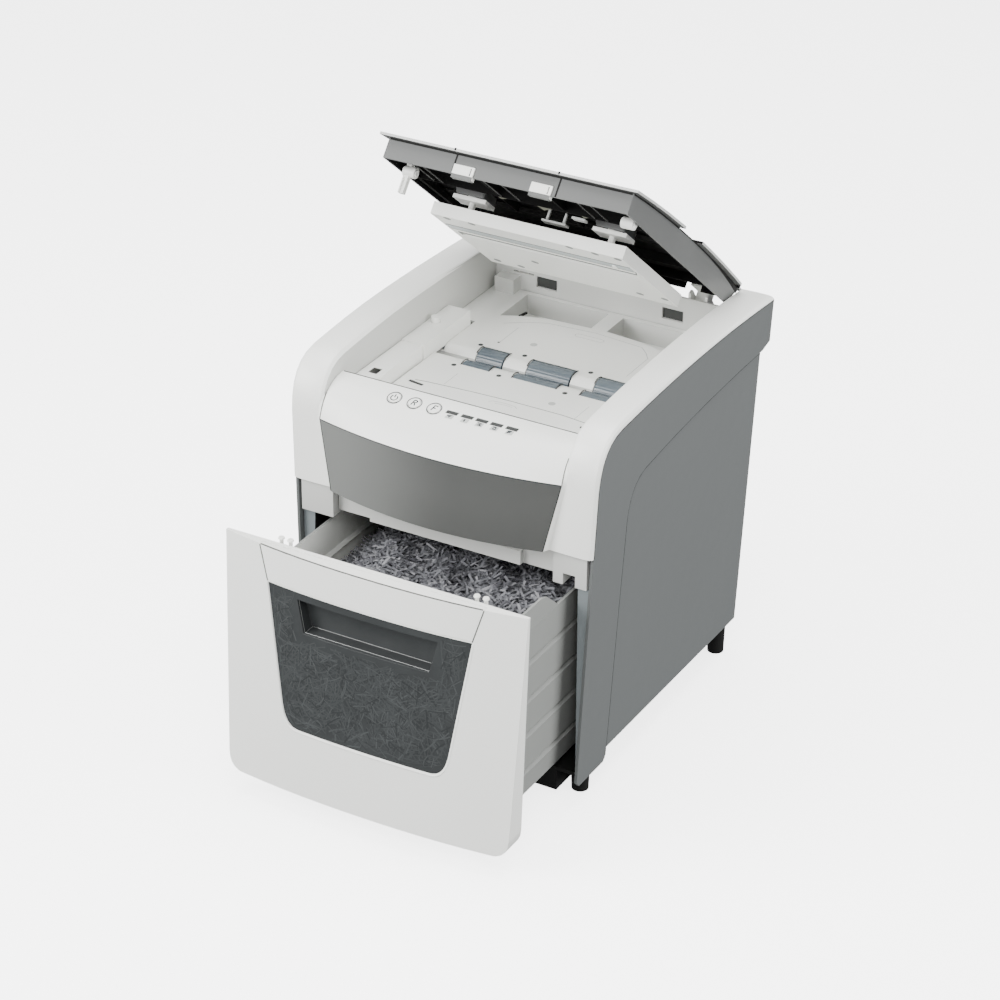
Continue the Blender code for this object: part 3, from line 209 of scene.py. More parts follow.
SMOKE = smoked("smoked_window", 0.036, 0.044)
SMOKED_STRIPS = {
    "pale": smoked("strips_pale", 0.056, 0.064),
    "middle": smoked("strips_middle", 0.046, 0.052),
    "dark": smoked("strips_dark", 0.031, 0.036),
}
INK = moulded("print_ink", (0.014, 0.017, 0.021), 0.6, 0.2, specular=0.2)
# Dark marks, print and joints, and painted shade in holes and pockets.
DARK_MARK_AND_SHADE = moulded("moulded_shadow", (0.045, 0.047, 0.045), 0.6, 0.2, specular=0.2)
# Pale lines and marks, and painted shade on white parts in the lid's shade.
PALE_MARK_AND_SHADE = moulded("moulded_line_and_painted_shade", (0.50, 0.51, 0.49), 0.5, 0.2)
# Grey for the lid's guide housings, and painted highlight on the lid's rib edges.
LID_GREY_AND_RIB_HIGHLIGHT = moulded("lid_grey_and_rib_highlight", (0.10, 0.102, 0.099), 0.5, 0.2)
OLIVE = moulded("lid_web_dark", (0.14, 0.14, 0.112), 0.6, 0.3, specular=0.2)
# Painted shade: near black for the lid's hollow, darker than its black plastic.
LID_HOLLOW_PAINTED_SHADE = moulded("lid_inside_painted_shade", (0.004, 0.004, 0.0037), 0.8, 0.3, specular=0.1)
STRIP_GREY = moulded("plate_strip_grey", (0.42, 0.46, 0.47), 0.3, 0.2)
SEAM = moulded("seam_shadow", (0.022, 0.024, 0.022), 0.6, 0.2, specular=0.2)
FAINT_SEAM = moulded("seam_on_white", (0.10, 0.103, 0.098), 0.6, 0.2, specular=0.2)
# Painted highlight along the finger scoop's edges.
GLINT = moulded("scoop_edge_painted_highlight", (0.16, 0.165, 0.16), 0.2, 0.1, coat=0.3)
PAPERS = {
    "pale": paper("pale_paper", (0.27, 0.27, 0.285)),
    "middle": paper("grey_paper", (0.17, 0.172, 0.186)),
    "dark": paper("dark_paper", (0.095, 0.095, 0.106)),
}
PAPER_SHARES = ("pale", "middle", "middle", "middle", "dark")
# Painted shade: near black for the heap's body, for the shade between the strips.
SHRED_MASS_PAINTED_SHADE = paper("shred_mass_painted_shade", (0.05, 0.05, 0.056))
MARK_GREY = moulded("ejector_mark", (0.22, 0.225, 0.22), 0.5, 0.2)
# Painted shade: a darker white for walls that stand in the tray's shade.
TRAY_WALL_PAINTED_SHADE = moulded("tray_wall_painted_shade", (0.56, 0.565, 0.54), 0.45, 0.25)
LID_SKIRT = moulded("lid_skirt_plastic", (0.116, 0.119, 0.116), 0.42, 0.3, specular=0.4)
LID_TOP = moulded("lid_top_plastic", (0.50, 0.505, 0.49), 0.4, 0.25)

FINISH = {
    "white": WHITE, "side_grey": SIDE, "panel_grey": PANEL_PAINTED_SHADE, "pillar_grey": PILLAR, "bin_grey": BIN,
    "black": BLACK_AND_SHADE, "smoke": SMOKE, "rubber": RUBBER, "steel": STEEL, "nylon": NYLON, "board": BOARD,
}


# ---------------------------------------------------------------- frame nodes

def round_edges(piece, width, angle=24.0):
    """Joins split faces, then rounds the sharp edges and shades the rest smoothly."""
    weld = piece.modifiers.new("weld", "WELD")
    weld.merge_threshold = 0.00001
    plain = piece.modifiers.new("plain", "DECIMATE")
    plain.decimate_type = "DISSOLVE"
    plain.angle_limit = math.radians(0.4)
    edge = piece.modifiers.new("edge", "BEVEL")
    edge.width = width * MM
    edge.segments = 3
    edge.limit_method = "ANGLE"
    edge.angle_limit = math.radians(angle)
    edge.use_clamp_overlap = True
    normals = piece.modifiers.new("normals", "WEIGHTED_NORMAL")
    normals.keep_sharp = True
    piece.data.polygons.foreach_set("use_smooth", [True] * len(piece.data.polygons))


EDGE_WIDTHS = {
    "side_panel_left": 0.6, "side_panel_right": 0.6, "bin": 0.6, "drawer_front": 1.0, "drawer_insert": 0.5,
    "lid_shell": 0.9, "pressure_plate": 0.7, "sensor_box_front": 1.4, "sensor_box_rear": 1.4,
    "guide_frame": 0.8, "feed_bed_front": 0.6, "feed_bed_rear": 0.8,
}
# The lid's frame takes the painted shade of the lid's hollow.
NODE_PAINTED_SHADE = {"lid_frame": LID_HOLLOW_PAINTED_SHADE}


def crown(y):
    """Height of the housing's crowned top edge, which the lid follows."""
    return 391.3 + 6.7 * (1.0 - ((y - 207.0) / 163.0) ** 2)


def two_tone_lid_painted_hollow(part):
    """The lid's skirt is darker than the cover on top of it, and its hollow gets painted shade, darker still."""
    part.data.materials.clear()
    for material in (LID_SKIRT, LID_TOP, LID_HOLLOW_PAINTED_SHADE):
        part.data.materials.append(material)
    to_drawing = PLACES["lid"].inverted()
    for face in part.data.polygons:
        spot = to_drawing @ face.center
        hollow = abs(spot.x) < 127.9 and 52.1 < spot.y < 345.0 and spot.z < crown(spot.y) + 7.5
        face.material_index = 2 if hollow else int(spot.z > crown(spot.y) + 7.6)


def paint_shade_on_inner_faces(part, material):
    """Painted shade: a darker material on the sides that face the middle of the machine."""
    part.data.materials.append(material)
    for face in part.data.polygons:
        inwards = -face.normal.x if face.center.x > 0.0 else face.normal.x
        face.material_index = int(inwards > 0.9)


def paint_shade_on_walls(part):
    """Painted shade: the tray's upright walls get a darker white than its floor."""
    part.data.materials.append(TRAY_WALL_PAINTED_SHADE)
    for face in part.data.polygons:
        face.material_index = int(abs(face.normal.z) < 0.4)


def paint_light_inside_bin(part):
    """Painted light: the bin gets a paler material inside, where light falls in from above."""
    part.data.materials.append(BIN_INSIDE_PAINTED_LIGHT)
    to_drawing = PLACES["drawer"].inverted()
    for face in part.data.polygons:
        spot = to_drawing @ face.center
        face.material_index = int(abs(spot.x) < 132.6 - 0.025 * (227.5 - spot.z) and 2.0 < spot.y < 316.0)


def dress_frame():
    slots = {part["node"]: part["material_slot"] for part in frame["record"]["subparts"]}
    for name, part in NODES.items():
        part.data.materials.clear()
        part.data.materials.append(NODE_PAINTED_SHADE.get(name, FINISH[slots[name]]))
        round_edges(part, EDGE_WIDTHS.get(name, 0.4))
    for name in ("lid_shell", "lid_catch"):
        two_tone_lid_painted_hollow(NODES[name])
    paint_light_inside_bin(NODES["bin"])
    # Painted shade: the pillars' inward sides black, the arches' inward sides and the tray's walls a darker white.
    for name in ("inner_pillar_left", "inner_pillar_right"):
        paint_shade_on_inner_faces(NODES[name], BLACK_AND_SHADE)
    for name in ("arch_cover_left", "arch_cover_right"):
        paint_shade_on_inner_faces(NODES[name], TRAY_WALL_PAINTED_SHADE)
    for name in ("feed_bed_rear", "guide_frame", "pressure_plate"):
        paint_shade_on_walls(NODES[name])


# ---------------------------------------------------------------- pieces

def add_box(work, x0, x1, y0, y1, z0, z1):
    made = bmesh.ops.create_cube(work, size=1.0)["verts"]
    bmesh.ops.scale(work, vec=(x1 - x0, y1 - y0, z1 - z0), verts=made)
    bmesh.ops.translate(work, vec=((x0 + x1) / 2, (y0 + y1) / 2, (z0 + z1) / 2), verts=made)
    return made


def add_rod(work, centre, direction, radius, length, sides=32, tip=None):
    """A rod that starts at a point and runs along a direction."""
    turn = Vector((0.0, 0.0, 1.0)).rotation_difference(Vector(direction)).to_matrix().to_4x4()
    middle = Vector(centre) + Vector(direction).normalized() * (length / 2)
    return bmesh.ops.create_cone(work, cap_ends=True, segments=sides, radius1=radius,
                                 radius2=radius if tip is None else tip, depth=length,
                                 matrix=Matrix.Translation(middle) @ turn)["verts"]


def add_plate(work, outline, z0, z1):
    """A flat plate with this outline in X and Y between two heights."""
    low = [work.verts.new((x, y, z0)) for x, y in outline]
    high = [work.verts.new((x, y, z1)) for x, y in outline]
    work.faces.new(list(reversed(low)))
    work.faces.new(high)
    for k in range(len(outline)):
        after = (k + 1) % len(outline)
        work.faces.new((low[k], low[after], high[after], high[k]))
    return low + high


def add_plate_across_x(work, outline, x0, x1):
    """The same, with the outline in Y and Z."""
    for vert in add_plate(work, outline, x0, x1):
        vert.co = Vector((vert.co.z, vert.co.x, vert.co.y))


def add_plate_across_y(work, outline, y0, y1):
    """The same, with the outline in X and Z."""
    for vert in add_plate(work, outline, y0, y1):
        vert.co = Vector((vert.co.x, vert.co.z, vert.co.y))


def add_tube(work, path, radius, sides=8, closed=False):
    """A round line through the points of a path."""
    points = [Vector(point) for point in path]
    rings = []
    for k, point in enumerate(points):
        before = points[k - 1] if k or closed else point
        after = points[(k + 1) % len(points)] if k + 1 < len(points) or closed else point
        along = (after - before).normalized()
        side = along.cross(Vector((0.31, 0.23, 0.92))).normalized()
        up = side.cross(along)
        ring = []
        for step in range(sides):
            angle = 2.0 * math.pi * step / sides
            ring.append(work.verts.new(point + (side * math.cos(angle) + up * math.sin(angle)) * radius))
        rings.append(ring)
    pairs = list(zip(rings, rings[1:]))
    if closed:
        pairs.append((rings[-1], rings[0]))
    else:
        work.faces.new(list(reversed(rings[0])))
        work.faces.new(rings[-1])
    for first, second in pairs:
        for k in range(sides):
            work.faces.new((first[k], first[(k + 1) % sides], second[(k + 1) % sides], second[k]))


def line_outline(path, width):
    """The outline of a flat line of even width along a path in X and Y."""
    points = [Vector(point) for point in path]
    left, right = [], []
    for k, point in enumerate(points):
        along = (points[min(k + 1, len(points) - 1)] - points[max(k - 1, 0)]).normalized()
        across = Vector((-along.y, along.x)) * (width / 2)
        left.append(tuple(point + across))
        right.append(tuple(point - across))
    return right + list(reversed(left))


def arc_points(centre, radius, first, last, steps):
    span = [math.radians(first + (last - first) * k / steps) for k in range(steps + 1)]
    return [(centre[0] + radius * math.cos(a), centre[1] + radius * math.sin(a)) for a in span]


def curve_points(start, control, stop, steps=12):
    made = []
    for k in range(steps + 1):
        t = k / steps
        made.append(tuple((1 - t) ** 2 * a + 2 * t * (1 - t) * b + t * t * c
                          for a, b, c in zip(start, control, stop)))
    return made


def add_piece(name, work, body, material, round_off=0.0, flip=True):
    """Puts a finished mesh where its body stands and hangs it on that body."""
    if flip:
        bmesh.ops.recalc_face_normals(work, faces=work.faces)
    mesh = bpy.data.meshes.new(name)
    work.to_mesh(mesh)
    work.free()
    mesh.transform(place_of(body))
    mesh.materials.append(material)
    piece = bpy.data.objects.new(name, mesh)
    bpy.context.scene.collection.objects.link(piece)
    mesh.polygons.foreach_set("use_smooth", [True] * len(mesh.polygons))
    if round_off:
        edge = piece.modifiers.new("edge", "BEVEL")
        edge.width = round_off * MM
        edge.segments = 2
        edge.limit_method = "ANGLE"
        edge.angle_limit = math.radians(30.0)
        piece.modifiers.new("normals", "WEIGHTED_NORMAL").keep_sharp = True
    else:
        mesh.set_sharp_from_angle(angle=math.radians(35.0))
    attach(piece, body)
    return piece


# ---------------------------------------------------------------- controls

FASCIA_CURVE = ((46.0, 379.0), (14.0, 377.0), (5.0, 346.2))
TRAY_HALF = 130.4
FRONT_BOW = 16.0
BUTTON_XS = {"button_power": -62.0, "button_reverse": -40.0, "button_forward": -18.5}
BUTTON_PLACE = 0.275


def fascia_spot(x, t):
    """A point on the control fascia and the direction out of its face."""
    def spot(share):
        (y0, z0), (y1, z1), (y2, z2) = FASCIA_CURVE
        y = (1 - share) ** 2 * y0 + 2 * share * (1 - share) * y1 + share * share * y2
        z = (1 - share) ** 2 * z0 + 2 * share * (1 - share) * z1 + share * share * z2
        bow = FRONT_BOW * (z0 - z) / (z0 - z2) * (1.0 - (x / TRAY_HALF) ** 2)
        return Vector((x, y - bow, z))
    along = spot(t + 0.01) - spot(t)
    return spot(t), Vector((0.0, along.z, -along.y)).normalized()


def print_on_fascia(work, x, t, lift):
    """Stands a flat mark, drawn about the origin with Y towards the tray, on the fascia."""
    spot, out = fascia_spot(x, t)
    up = Vector((0.0, -out.z, out.y)) * -1.0
    across = up.cross(out)
    turn = Matrix((across, up, out)).transposed().to_4x4()
    work.transform(Matrix.Translation(spot + out * lift) @ turn)


def stroke_mark(strokes, width):
    work = bmesh.new()
    for path in strokes:
        add_plate(work, line_outline(path, width), 0.0, 0.12)
    return work


BUTTON_RIM, SIGN_SCALE = 7.2, 1.35
POWER_SIGN = [arc_points((0.0, -0.3), 2.5, 132.0, 408.0, 16), [(0.0, 0.1), (0.0, 2.9)]]
REVERSE_SIGN = [
    [(-1.7, -2.5), (-0.7, 2.5)],
    [(-0.8, 2.4), (0.8, 2.4), (1.7, 1.7), (1.3, 0.6), (0.2, 0.1), (-1.2, 0.1)],
    [(0.1, 0.1), (1.2, -2.5)],
]
FORWARD_SIGN = [[(-1.4, -2.5), (-0.4, 2.5)], [(-0.5, 2.4), (2.1, 2.4)], [(-0.9, 0.1), (1.2, 0.1)]]


def button_prints():
    """A printed sign on each button, which goes down with it, and a dark joint round it."""
    signs = {"button_power": POWER_SIGN, "button_reverse": REVERSE_SIGN, "button_forward": FORWARD_SIGN}
    for body, x in BUTTON_XS.items():
        rim = stroke_mark([arc_points((0.0, 0.0), BUTTON_RIM, 0.0, 360.0, 40)], 0.8)
        print_on_fascia(rim, x, BUTTON_PLACE, 0.02)
        add_piece(body + "_rim", rim, "housing", INK)
        strokes = [[(SIGN_SCALE * across, SIGN_SCALE * up) for across, up in path] for path in signs[body]]
        sign = stroke_mark(strokes, 1.1)
        print_on_fascia(sign, x, BUTTON_PLACE, 0.5)
        add_piece(body + "_sign", sign, body, INK)


STATUS_XS = (0.5, 16.8, 32.4, 48.1, 64.3)


def status_prints():
    """Five status lights: a dark bar above a small sign."""
    glyphs = (
        [[(-2.6, -4.2), (2.2, -2.8), (-0.8, -5.6)]],
        [[(-0.4, -2.8), (-0.4, -6.0)]],
        [[(-2.2, -2.9), (2.2, -2.9), (-1.8, -5.8), (2.4, -5.8), (0.2, -4.4)]],
        [[(-1.6, -2.9), (1.6, -2.9), (1.6, -5.4), (-1.6, -5.4)]],
        [[(-2.0, -6.0), (-1.3, -2.8), (2.0, -2.8)], [(-1.6, -4.4), (1.1, -4.4)]],
    )
    for k, (x, glyph) in enumerate(zip(STATUS_XS, glyphs)):
        bar = bmesh.new()
        add_plate(bar, [(-6.4, -1.4), (6.0, -1.4), (6.8, 2.7), (-5.6, 2.7)], 0.0, 0.12)
        print_on_fascia(bar, x, BUTTON_PLACE, 0.02)
        add_piece("status_bar_%d" % k, bar, "housing", DARK_MARK_AND_SHADE)
        sign = stroke_mark(glyph, 1.5)
        print_on_fascia(sign, x, BUTTON_PLACE, 0.02)
        add_piece("status_sign_%d" % k, sign, "housing", INK)
        light = bmesh.new()
        add_plate(light, [(-4.0, -7.2), (3.4, -7.2), (4.2, -2.0), (-3.2, -2.0)], 0.0, 0.06)
        print_on_fascia(light, x, BUTTON_PLACE, 0.01)
        add_piece("status_lens_%d" % k, light, "housing", PALE_MARK_AND_SHADE)


# ---------------------------------------------------------------- feed beds

BED = 351.0


def bed_marks():
    """Moulded lines on the feed beds, and the two clips at the front."""
    lines = bmesh.new()
    fold = [(-90.0, 112.4), (-78.0, 114.2), (-30.0, 117.6), (12.0, 119.2), (69.0, 118.6), (97.0, 115.2)]
    add_plate(lines, line_outline(fold, 0.8), BED - 0.2, BED + 0.06)
    add_piece("bed_lines_dark", lines, "housing", DARK_MARK_AND_SHADE)
    clips = bmesh.new()
    add_plate(clips, [(-94.0, 106.4), (-78.0, 104.0), (-77.0, 106.6), (-93.6, 109.4)], BED - 0.2, BED + 0.8)
    add_plate(clips, [(95.0, 104.0), (105.0, 106.2), (104.6, 109.0), (94.6, 106.4)], BED - 0.2, BED + 0.8)
    add_piece("bed_clips", clips, "housing", DARK_MARK_AND_SHADE, 0.3)
    faint = bmesh.new()
    arch = [(-6.0, 108.0), (-3.0, 111.0), (9.0, 112.5), (21.0, 111.5), (25.0, 108.4)]
    for path, width in (
            ([(-61.0, 118.0), (-61.0, 144.0)], 0.6), ([(82.0, 118.0), (82.0, 147.0)], 0.6),
            ([(-60.0, 224.0), (-60.0, 262.0)], 0.6), ([(83.0, 221.0), (83.0, 264.0)], 0.6),
            ([(-78.0, 263.0), (-60.0, 276.0), (-40.0, 285.0)], 0.8),
            ([(-40.0, 285.0), (12.0, 289.5), (67.0, 284.0)], 0.7),
            ([(67.0, 284.0), (76.0, 275.0), (84.0, 264.0)], 0.8),
            ([(92.0, 276.0), (96.0, 262.0), (99.0, 226.0)], 0.7),
            (arch, 0.7), ([(1.0, 108.0), (12.0, 109.5), (20.0, 108.4)], 0.6)):
        add_plate(faint, line_outline(path, width), BED - 0.2, BED + 0.05)
    grip = arc_points((-0.5, 276.5), 3.2, 90.0, 270.0, 8) + arc_points((25.0, 276.5), 3.2, -90.0, 90.0, 8)
    add_plate(faint, line_outline(grip + grip[:1], 0.6), BED - 0.2, BED + 0.05)
    add_piece("bed_lines_faint", faint, "housing", PALE_MARK_AND_SHADE)


def bed_holes():
    # Painted shade: dark discs stand for the holes' shaded depth.
    holes = bmesh.new()
    spots = [(-73.3, 209.6), (-24.0, 210.4), (49.3, 210.7), (-73.9, 158.4), (-24.4, 160.0), (48.6, 159.8)]
    for x, y in spots:
        add_rod(holes, (x, y, BED - 0.6), (0.0, 0.0, 1.0), 2.6, 0.66)
    for x, y in ((-60.7, 223.2), (98.0, 159.6)):
        add_rod(holes, (x, y, BED - 0.6), (0.0, 0.0, 1.0), 1.3, 0.66)
    add_piece("bed_holes", holes, "housing", DARK_MARK_AND_SHADE)
    discs = bmesh.new()
    for x, y in ((-28.2, 236.0), (48.5, 134.4)):
        add_rod(discs, (x, y, BED - 0.6), (0.0, 0.0, 1.0), 3.6, 0.66)
    add_piece("bed_discs", discs, "housing", PALE_MARK_AND_SHADE)


ROLLER_SPANS = ((-67.5, -38.5), (-11.0, 36.0), (63.5, 92.5))
FEED_AXES = {"feed_front": (169.5, 338.0), "feed_rear": (201.5, 338.0)}


def roller_sleeves():
    """Rubber sleeves with ribs round each feed roller."""
    ribs = 26
    for body, (cy, cz) in FEED_AXES.items():
        side = body.split("_")[1]
        for place, (left, right) in zip(("left", "centre", "right"), ROLLER_SPANS):
            work = bmesh.new()
            outline = []
            for k in range(ribs * 4):
                angle = 2.0 * math.pi * k / (ribs * 4)
                radius = 14.12 if k % 4 < 2 else 13.78
                outline.append((cy + radius * math.cos(angle), cz + radius * math.sin(angle)))
            made = add_plate(work, outline, left + 0.1, right - 0.1)
            for vert in made:
                vert.co = Vector((vert.co.z, vert.co.x, vert.co.y))
            sleeve = add_piece("roller_sleeve_%s_%s" % (side, place), work, body, RUBBER, 0.12)
            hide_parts("feed_roller_%s_%s" % (side, place))


def slot_linings():
    """Dark edges round the roller openings, where the clearance shows."""
    work = bmesh.new()
    for cy, cz in FEED_AXES.values():
        for left, right in ROLLER_SPANS:
            reach = 14.65
            half = math.degrees(math.acos((BED - 0.6 - cz) / reach))
            for x in (left - 1.15, right + 1.15):
                arc = arc_points((cy, cz), reach - 0.3, 90.0 - half, 90.0 + half, 12)
                add_tube(work, [(x, y, z) for y, z in arc], 0.55, 6)
    add_piece("roller_slot_edges", work, "housing", DARK_MARK_AND_SHADE)


# ---------------------------------------------------------------- lid

def lid_tabs():
    """The two white latch tabs on the lid's front edge, stepped back where they pass inside the tray."""
    for name, left in (("lid_tab_left", -54.5), ("lid_tab_right", 28.0)):
        work = bmesh.new()
        add_box(work, left - 0.2, left + 22.2, 48.5, 55.2, 379.2, 388.6)
        add_box(work, left - 0.2, left + 22.2, 49.2, 55.2, 375.8, 382.0)
        add_box(work, left + 17.6, left + 18.8, 48.0, 49.0, 381.0, 386.0)
        add_piece(name, work, "lid", WHITE, 0.6)
        notch = bmesh.new()
        add_box(notch, left + 18.4, left + 19.3, 48.3, 49.3, 380.0, 387.0)
        add_piece(name + "_notch", notch, "lid", BLACK_AND_SHADE)


def lid_inside():
    """Ribs, bumpers and stops in the dark space between the lid and the pressure plate."""
    # Painted highlight: the ribs are grey where light catches their edges in the dark lid.
    ribs = bmesh.new()
    for x in (-104.0, -94.0, -30.0, -10.0, 70.0, 84.0):
        add_box(ribs, x, x + 0.6, 60.0, 112.0, 382.0, 383.2)
    add_piece("lid_rib_edges", ribs, "lid", LID_GREY_AND_RIB_HIGHLIGHT, 0.2)
    webs = bmesh.new()
    for left, right, low in ((-52.0, -8.0, 381.0), (-2.0, 34.0, 379.5), (40.0, 78.0, 381.0)):
        middle = (left + right) / 2
        slope_in, slope_out = (left + 6.0, low + 4.0), (right - 6.0, low + 4.0)
        outline = [(left, 390.0), slope_in, (middle, low), slope_out, (right, 390.0)]
        add_plate_across_y(webs, outline, 113.5, 115.3)
    add_piece("lid_webs", webs, "lid", OLIVE, 0.3)
    cheeks = bmesh.new()
    for x0, x1 in ((-94.0, -58.0), (58.0, 94.0)):
        front = [(x0, 391.0), (x0 + 4.0, 382.0), (x1 - 3.0, 382.0), (x1, 391.0)]
        add_plate_across_y(cheeks, front, 136.0, 138.0)
        side = [(136.0, 391.0), (136.0, 382.0), (163.0, 382.0), (163.0, 391.0)]
        add_plate_across_x(cheeks, side, x1 - 4.0, x1 - 2.0)
    add_piece("lid_guide_housings", cheeks, "lid", LID_GREY_AND_RIB_HIGHLIGHT, 0.4)
    bumpers = bmesh.new()
    for x in (-122.0, 111.5):
        add_rod(bumpers, (x, 84.5, 379.0), (1.0, 0.0, 0.0), 5.5, 13.0)
        add_rod(bumpers, (x - 1.0, 84.5, 379.0), (1.0, 0.0, 0.0), 3.6, 15.0)
    add_piece("lid_bumpers", bumpers, "lid", WHITE, 0.6)
    # Painted shade: the stops are white plastic, drawn grey for the lid's shade.
    stops = bmesh.new()
    add_box(stops, 2.0, 28.0, 143.0, 153.0, 376.0, 378.2)
    for x in (6.0, 24.0):
        add_box(stops, x - 1.2, x + 1.2, 146.0, 149.0, 378.0, 391.0)
    add_box(stops, 44.0, 58.0, 118.0, 126.0, 379.0, 381.4)
    add_piece("lid_stops", stops, "lid", PALE_MARK_AND_SHADE, 0.5)


def lid_shadow_lines():
    """The dark lines under the lid's rim and beside its catch, where the joints are deep."""
    work = bmesh.new()
    add_box(work, -128.6, 128.6, 49.7, 50.3, 397.4, 399.1)
    places = [51.0 + 294.0 * k / 14 for k in range(15)]
    upper = [(y, crown(y) + 7.35) for y in places]
    lower = [(y, crown(y) + 6.2 - 5.0 * max(0.0, (y - 240.0) / 105.0) ** 2) for y in reversed(places)]
    for x0, x1 in ((-130.4, -129.8), (129.8, 130.4)):
        add_plate_across_x(work, upper + lower, x0, x1)
    for x in (-55.0, 55.0):
        add_box(work, x - 0.8, x + 0.8, 49.7, 50.3, 379.3, 398.0)
        add_box(work, x - 0.9, x + 0.9, 41.75, 42.6, 399.3, 401.7)
    add_piece("lid_shadow_lines", work, "lid", BLACK_AND_SHADE)


def plate_marks():
    """Ejector marks, the steel strip and the long slot under the pressure plate."""
    face = 354.0
    marks = bmesh.new()
    for x, y in ((-88.0, 132.0), (-60.0, 130.0), (46.0, 130.0), (73.0, 131.0), (97.0, 131.5),
                 (-92.0, 268.0), (-66.0, 270.0), (-35.0, 234.0), (70.0, 262.0), (98.0, 259.0)):
        add_rod(marks, (x, y, face - 0.06), (0.0, 0.0, 1.0), 4.0, 0.36)
    add_piece("plate_marks", marks, "plate", MARK_GREY)
    strip = bmesh.new()
    add_box(strip, -101.0, 100.0, 157.4, 168.0, face - 0.35, face + 0.4)
    add_piece("plate_strip", strip, "plate", STRIP_GREY, 0.15)
    edges = bmesh.new()
    add_plate(edges, line_outline([(98.5, 179.0), (101.0, 169.4)], 1.0), face - 0.06, face + 0.3)
    lines = ((-101.0, 100.0, 156.4, 1.8), (-101.0, 100.0, 169.2, 2.2), (-97.0, 98.5, 179.2, 2.8))
    for left, right, y, width in lines:
        add_plate(edges, line_outline([(left, y), (right, y)], width), face - 0.06, face + 0.3)
    add_piece("plate_slot_edges", edges, "plate", DARK_MARK_AND_SHADE)
    post = bmesh.new()
    add_box(post, 80.0, 83.0, 160.0, 168.4, face - 1.6, face)
    add_piece("plate_post", post, "plate", WHITE, 0.3)


# ---------------------------------------------------------------- drawer

FRONT_TOP, FRONT_BOTTOM = 274.3, 24.0


def drawer_face(x, z):
    """Where the drawer front's face stands, from its bow and its lean."""
    drop = (FRONT_TOP - z) / (FRONT_TOP - FRONT_BOTTOM)
    half = 162.0 - 8.0 * drop
    return -4.0 - 22.0 * drop - (14.0 - 4.0 * drop) * (1.0 - min(1.0, abs(x) / half) ** 2.2)


def window_path():
    """The window's edge, from its upper left corner round the bottom to the upper right one."""
    right = curve_points((91.0, 116.0), (87.0, 93.0), (73.0, 93.0))
    left = [(-x, z) for x, z in right]
    low = [(-73.0 + 146.0 * k / 16, 93.0) for k in range(1, 16)]
    sides = [(-110.0 + 19.0 * k / 8, 238.5 - 122.5 * k / 8) for k in range(8)]
    return sides + left + low + list(reversed(right)) + [(-x, z) for x, z in reversed(sides)]


RIM_SECTION = ((2.6, 0.05), (1.7, -0.4), (0.8, -0.35), (0.1, 0.1), (-0.5, 1.2), (-0.4, 2.0), (2.6, 1.2))


def window_rim():
    """A soft bevel between the drawer front and its window."""
    work = bmesh.new()
    rings = []
    path = [Vector(point) for point in window_path()]
    for k, point in enumerate(path):
        along = (path[min(k + 1, len(path) - 1)] - path[max(k - 1, 0)]).normalized()
        outwards = Vector((along.y, -along.x))
        ring = []
        for out, depth in RIM_SECTION:
            spot = point + outwards * out
            ring.append(work.verts.new((spot.x, drawer_face(spot.x, spot.y) + depth, spot.y)))
        rings.append(ring)
    count = len(rings[0])
    for first, second in zip(rings, rings[1:]):
        for k in range(count):
            work.faces.new((first[k], first[(k + 1) % count], second[(k + 1) % count], second[k]))
    work.faces.new(rings[0])
    work.faces.new(list(reversed(rings[-1])))
    add_piece("window_rim", work, "drawer", WHITE)


def scoop_edges():
    """Painted highlights on the moulded edges of the finger scoop behind the window."""
    work = bmesh.new()
    back = -5.8
    floor = [(-67.5, 197.4), (67.5, 197.4)]
    corners = [(-75.2, 230.0), (-67.6, 197.6), (67.6, 197.6), (75.2, 230.0)]
    add_tube(work, [(x, drawer_face(x, z) + 3.2, z) for x, z in corners], 0.35)
    add_tube(work, [(x, back, z + 0.4) for x, z in floor], 0.28)
    for x in (-66.8, 66.8):
        add_tube(work, [(x, drawer_face(x, 198.0) + 3.2, 198.0), (x, back, 198.0)], 0.28)
    add_piece("scoop_edges", work, "drawer", GLINT)


def strip_of_paper(work, place, turn, length, width, curl, twist):
    """One curled strip, as a ribbon of four quads."""
    before = None
    for k in range(5):
        share = k / 4 - 0.5
        roll = Matrix.Rotation(twist * share, 4, "X")
        middle = Vector((length * share, 0.0, curl * (0.25 - share * share) * length))
        pair = []
        for side in (-0.5, 0.5):
            pair.append(work.verts.new(place + turn @ (middle + (roll @ Vector((0.0, width * side, 0.0))))))
        if before:
            work.faces.new((before[0], pair[0], pair[1], before[1]))
        before = pair


HEAP_STRIPS, WINDOW_STRIPS = 13000, 2600


def heap_height(x, y):
    """Height of the shreds in the bin, lower at the left and rear."""
    left = min(1.0, max(0.0, (x + 118.0) / 60.0))
    swell = 5.0 * math.sin(x * 0.045 + 0.6) * math.sin(y * 0.05) + 3.0 * math.sin(x * 0.11 + y * 0.07)
    return 176.0 + 42.0 * left ** 0.6 + swell - 0.04 * max(0.0, y - 120.0)


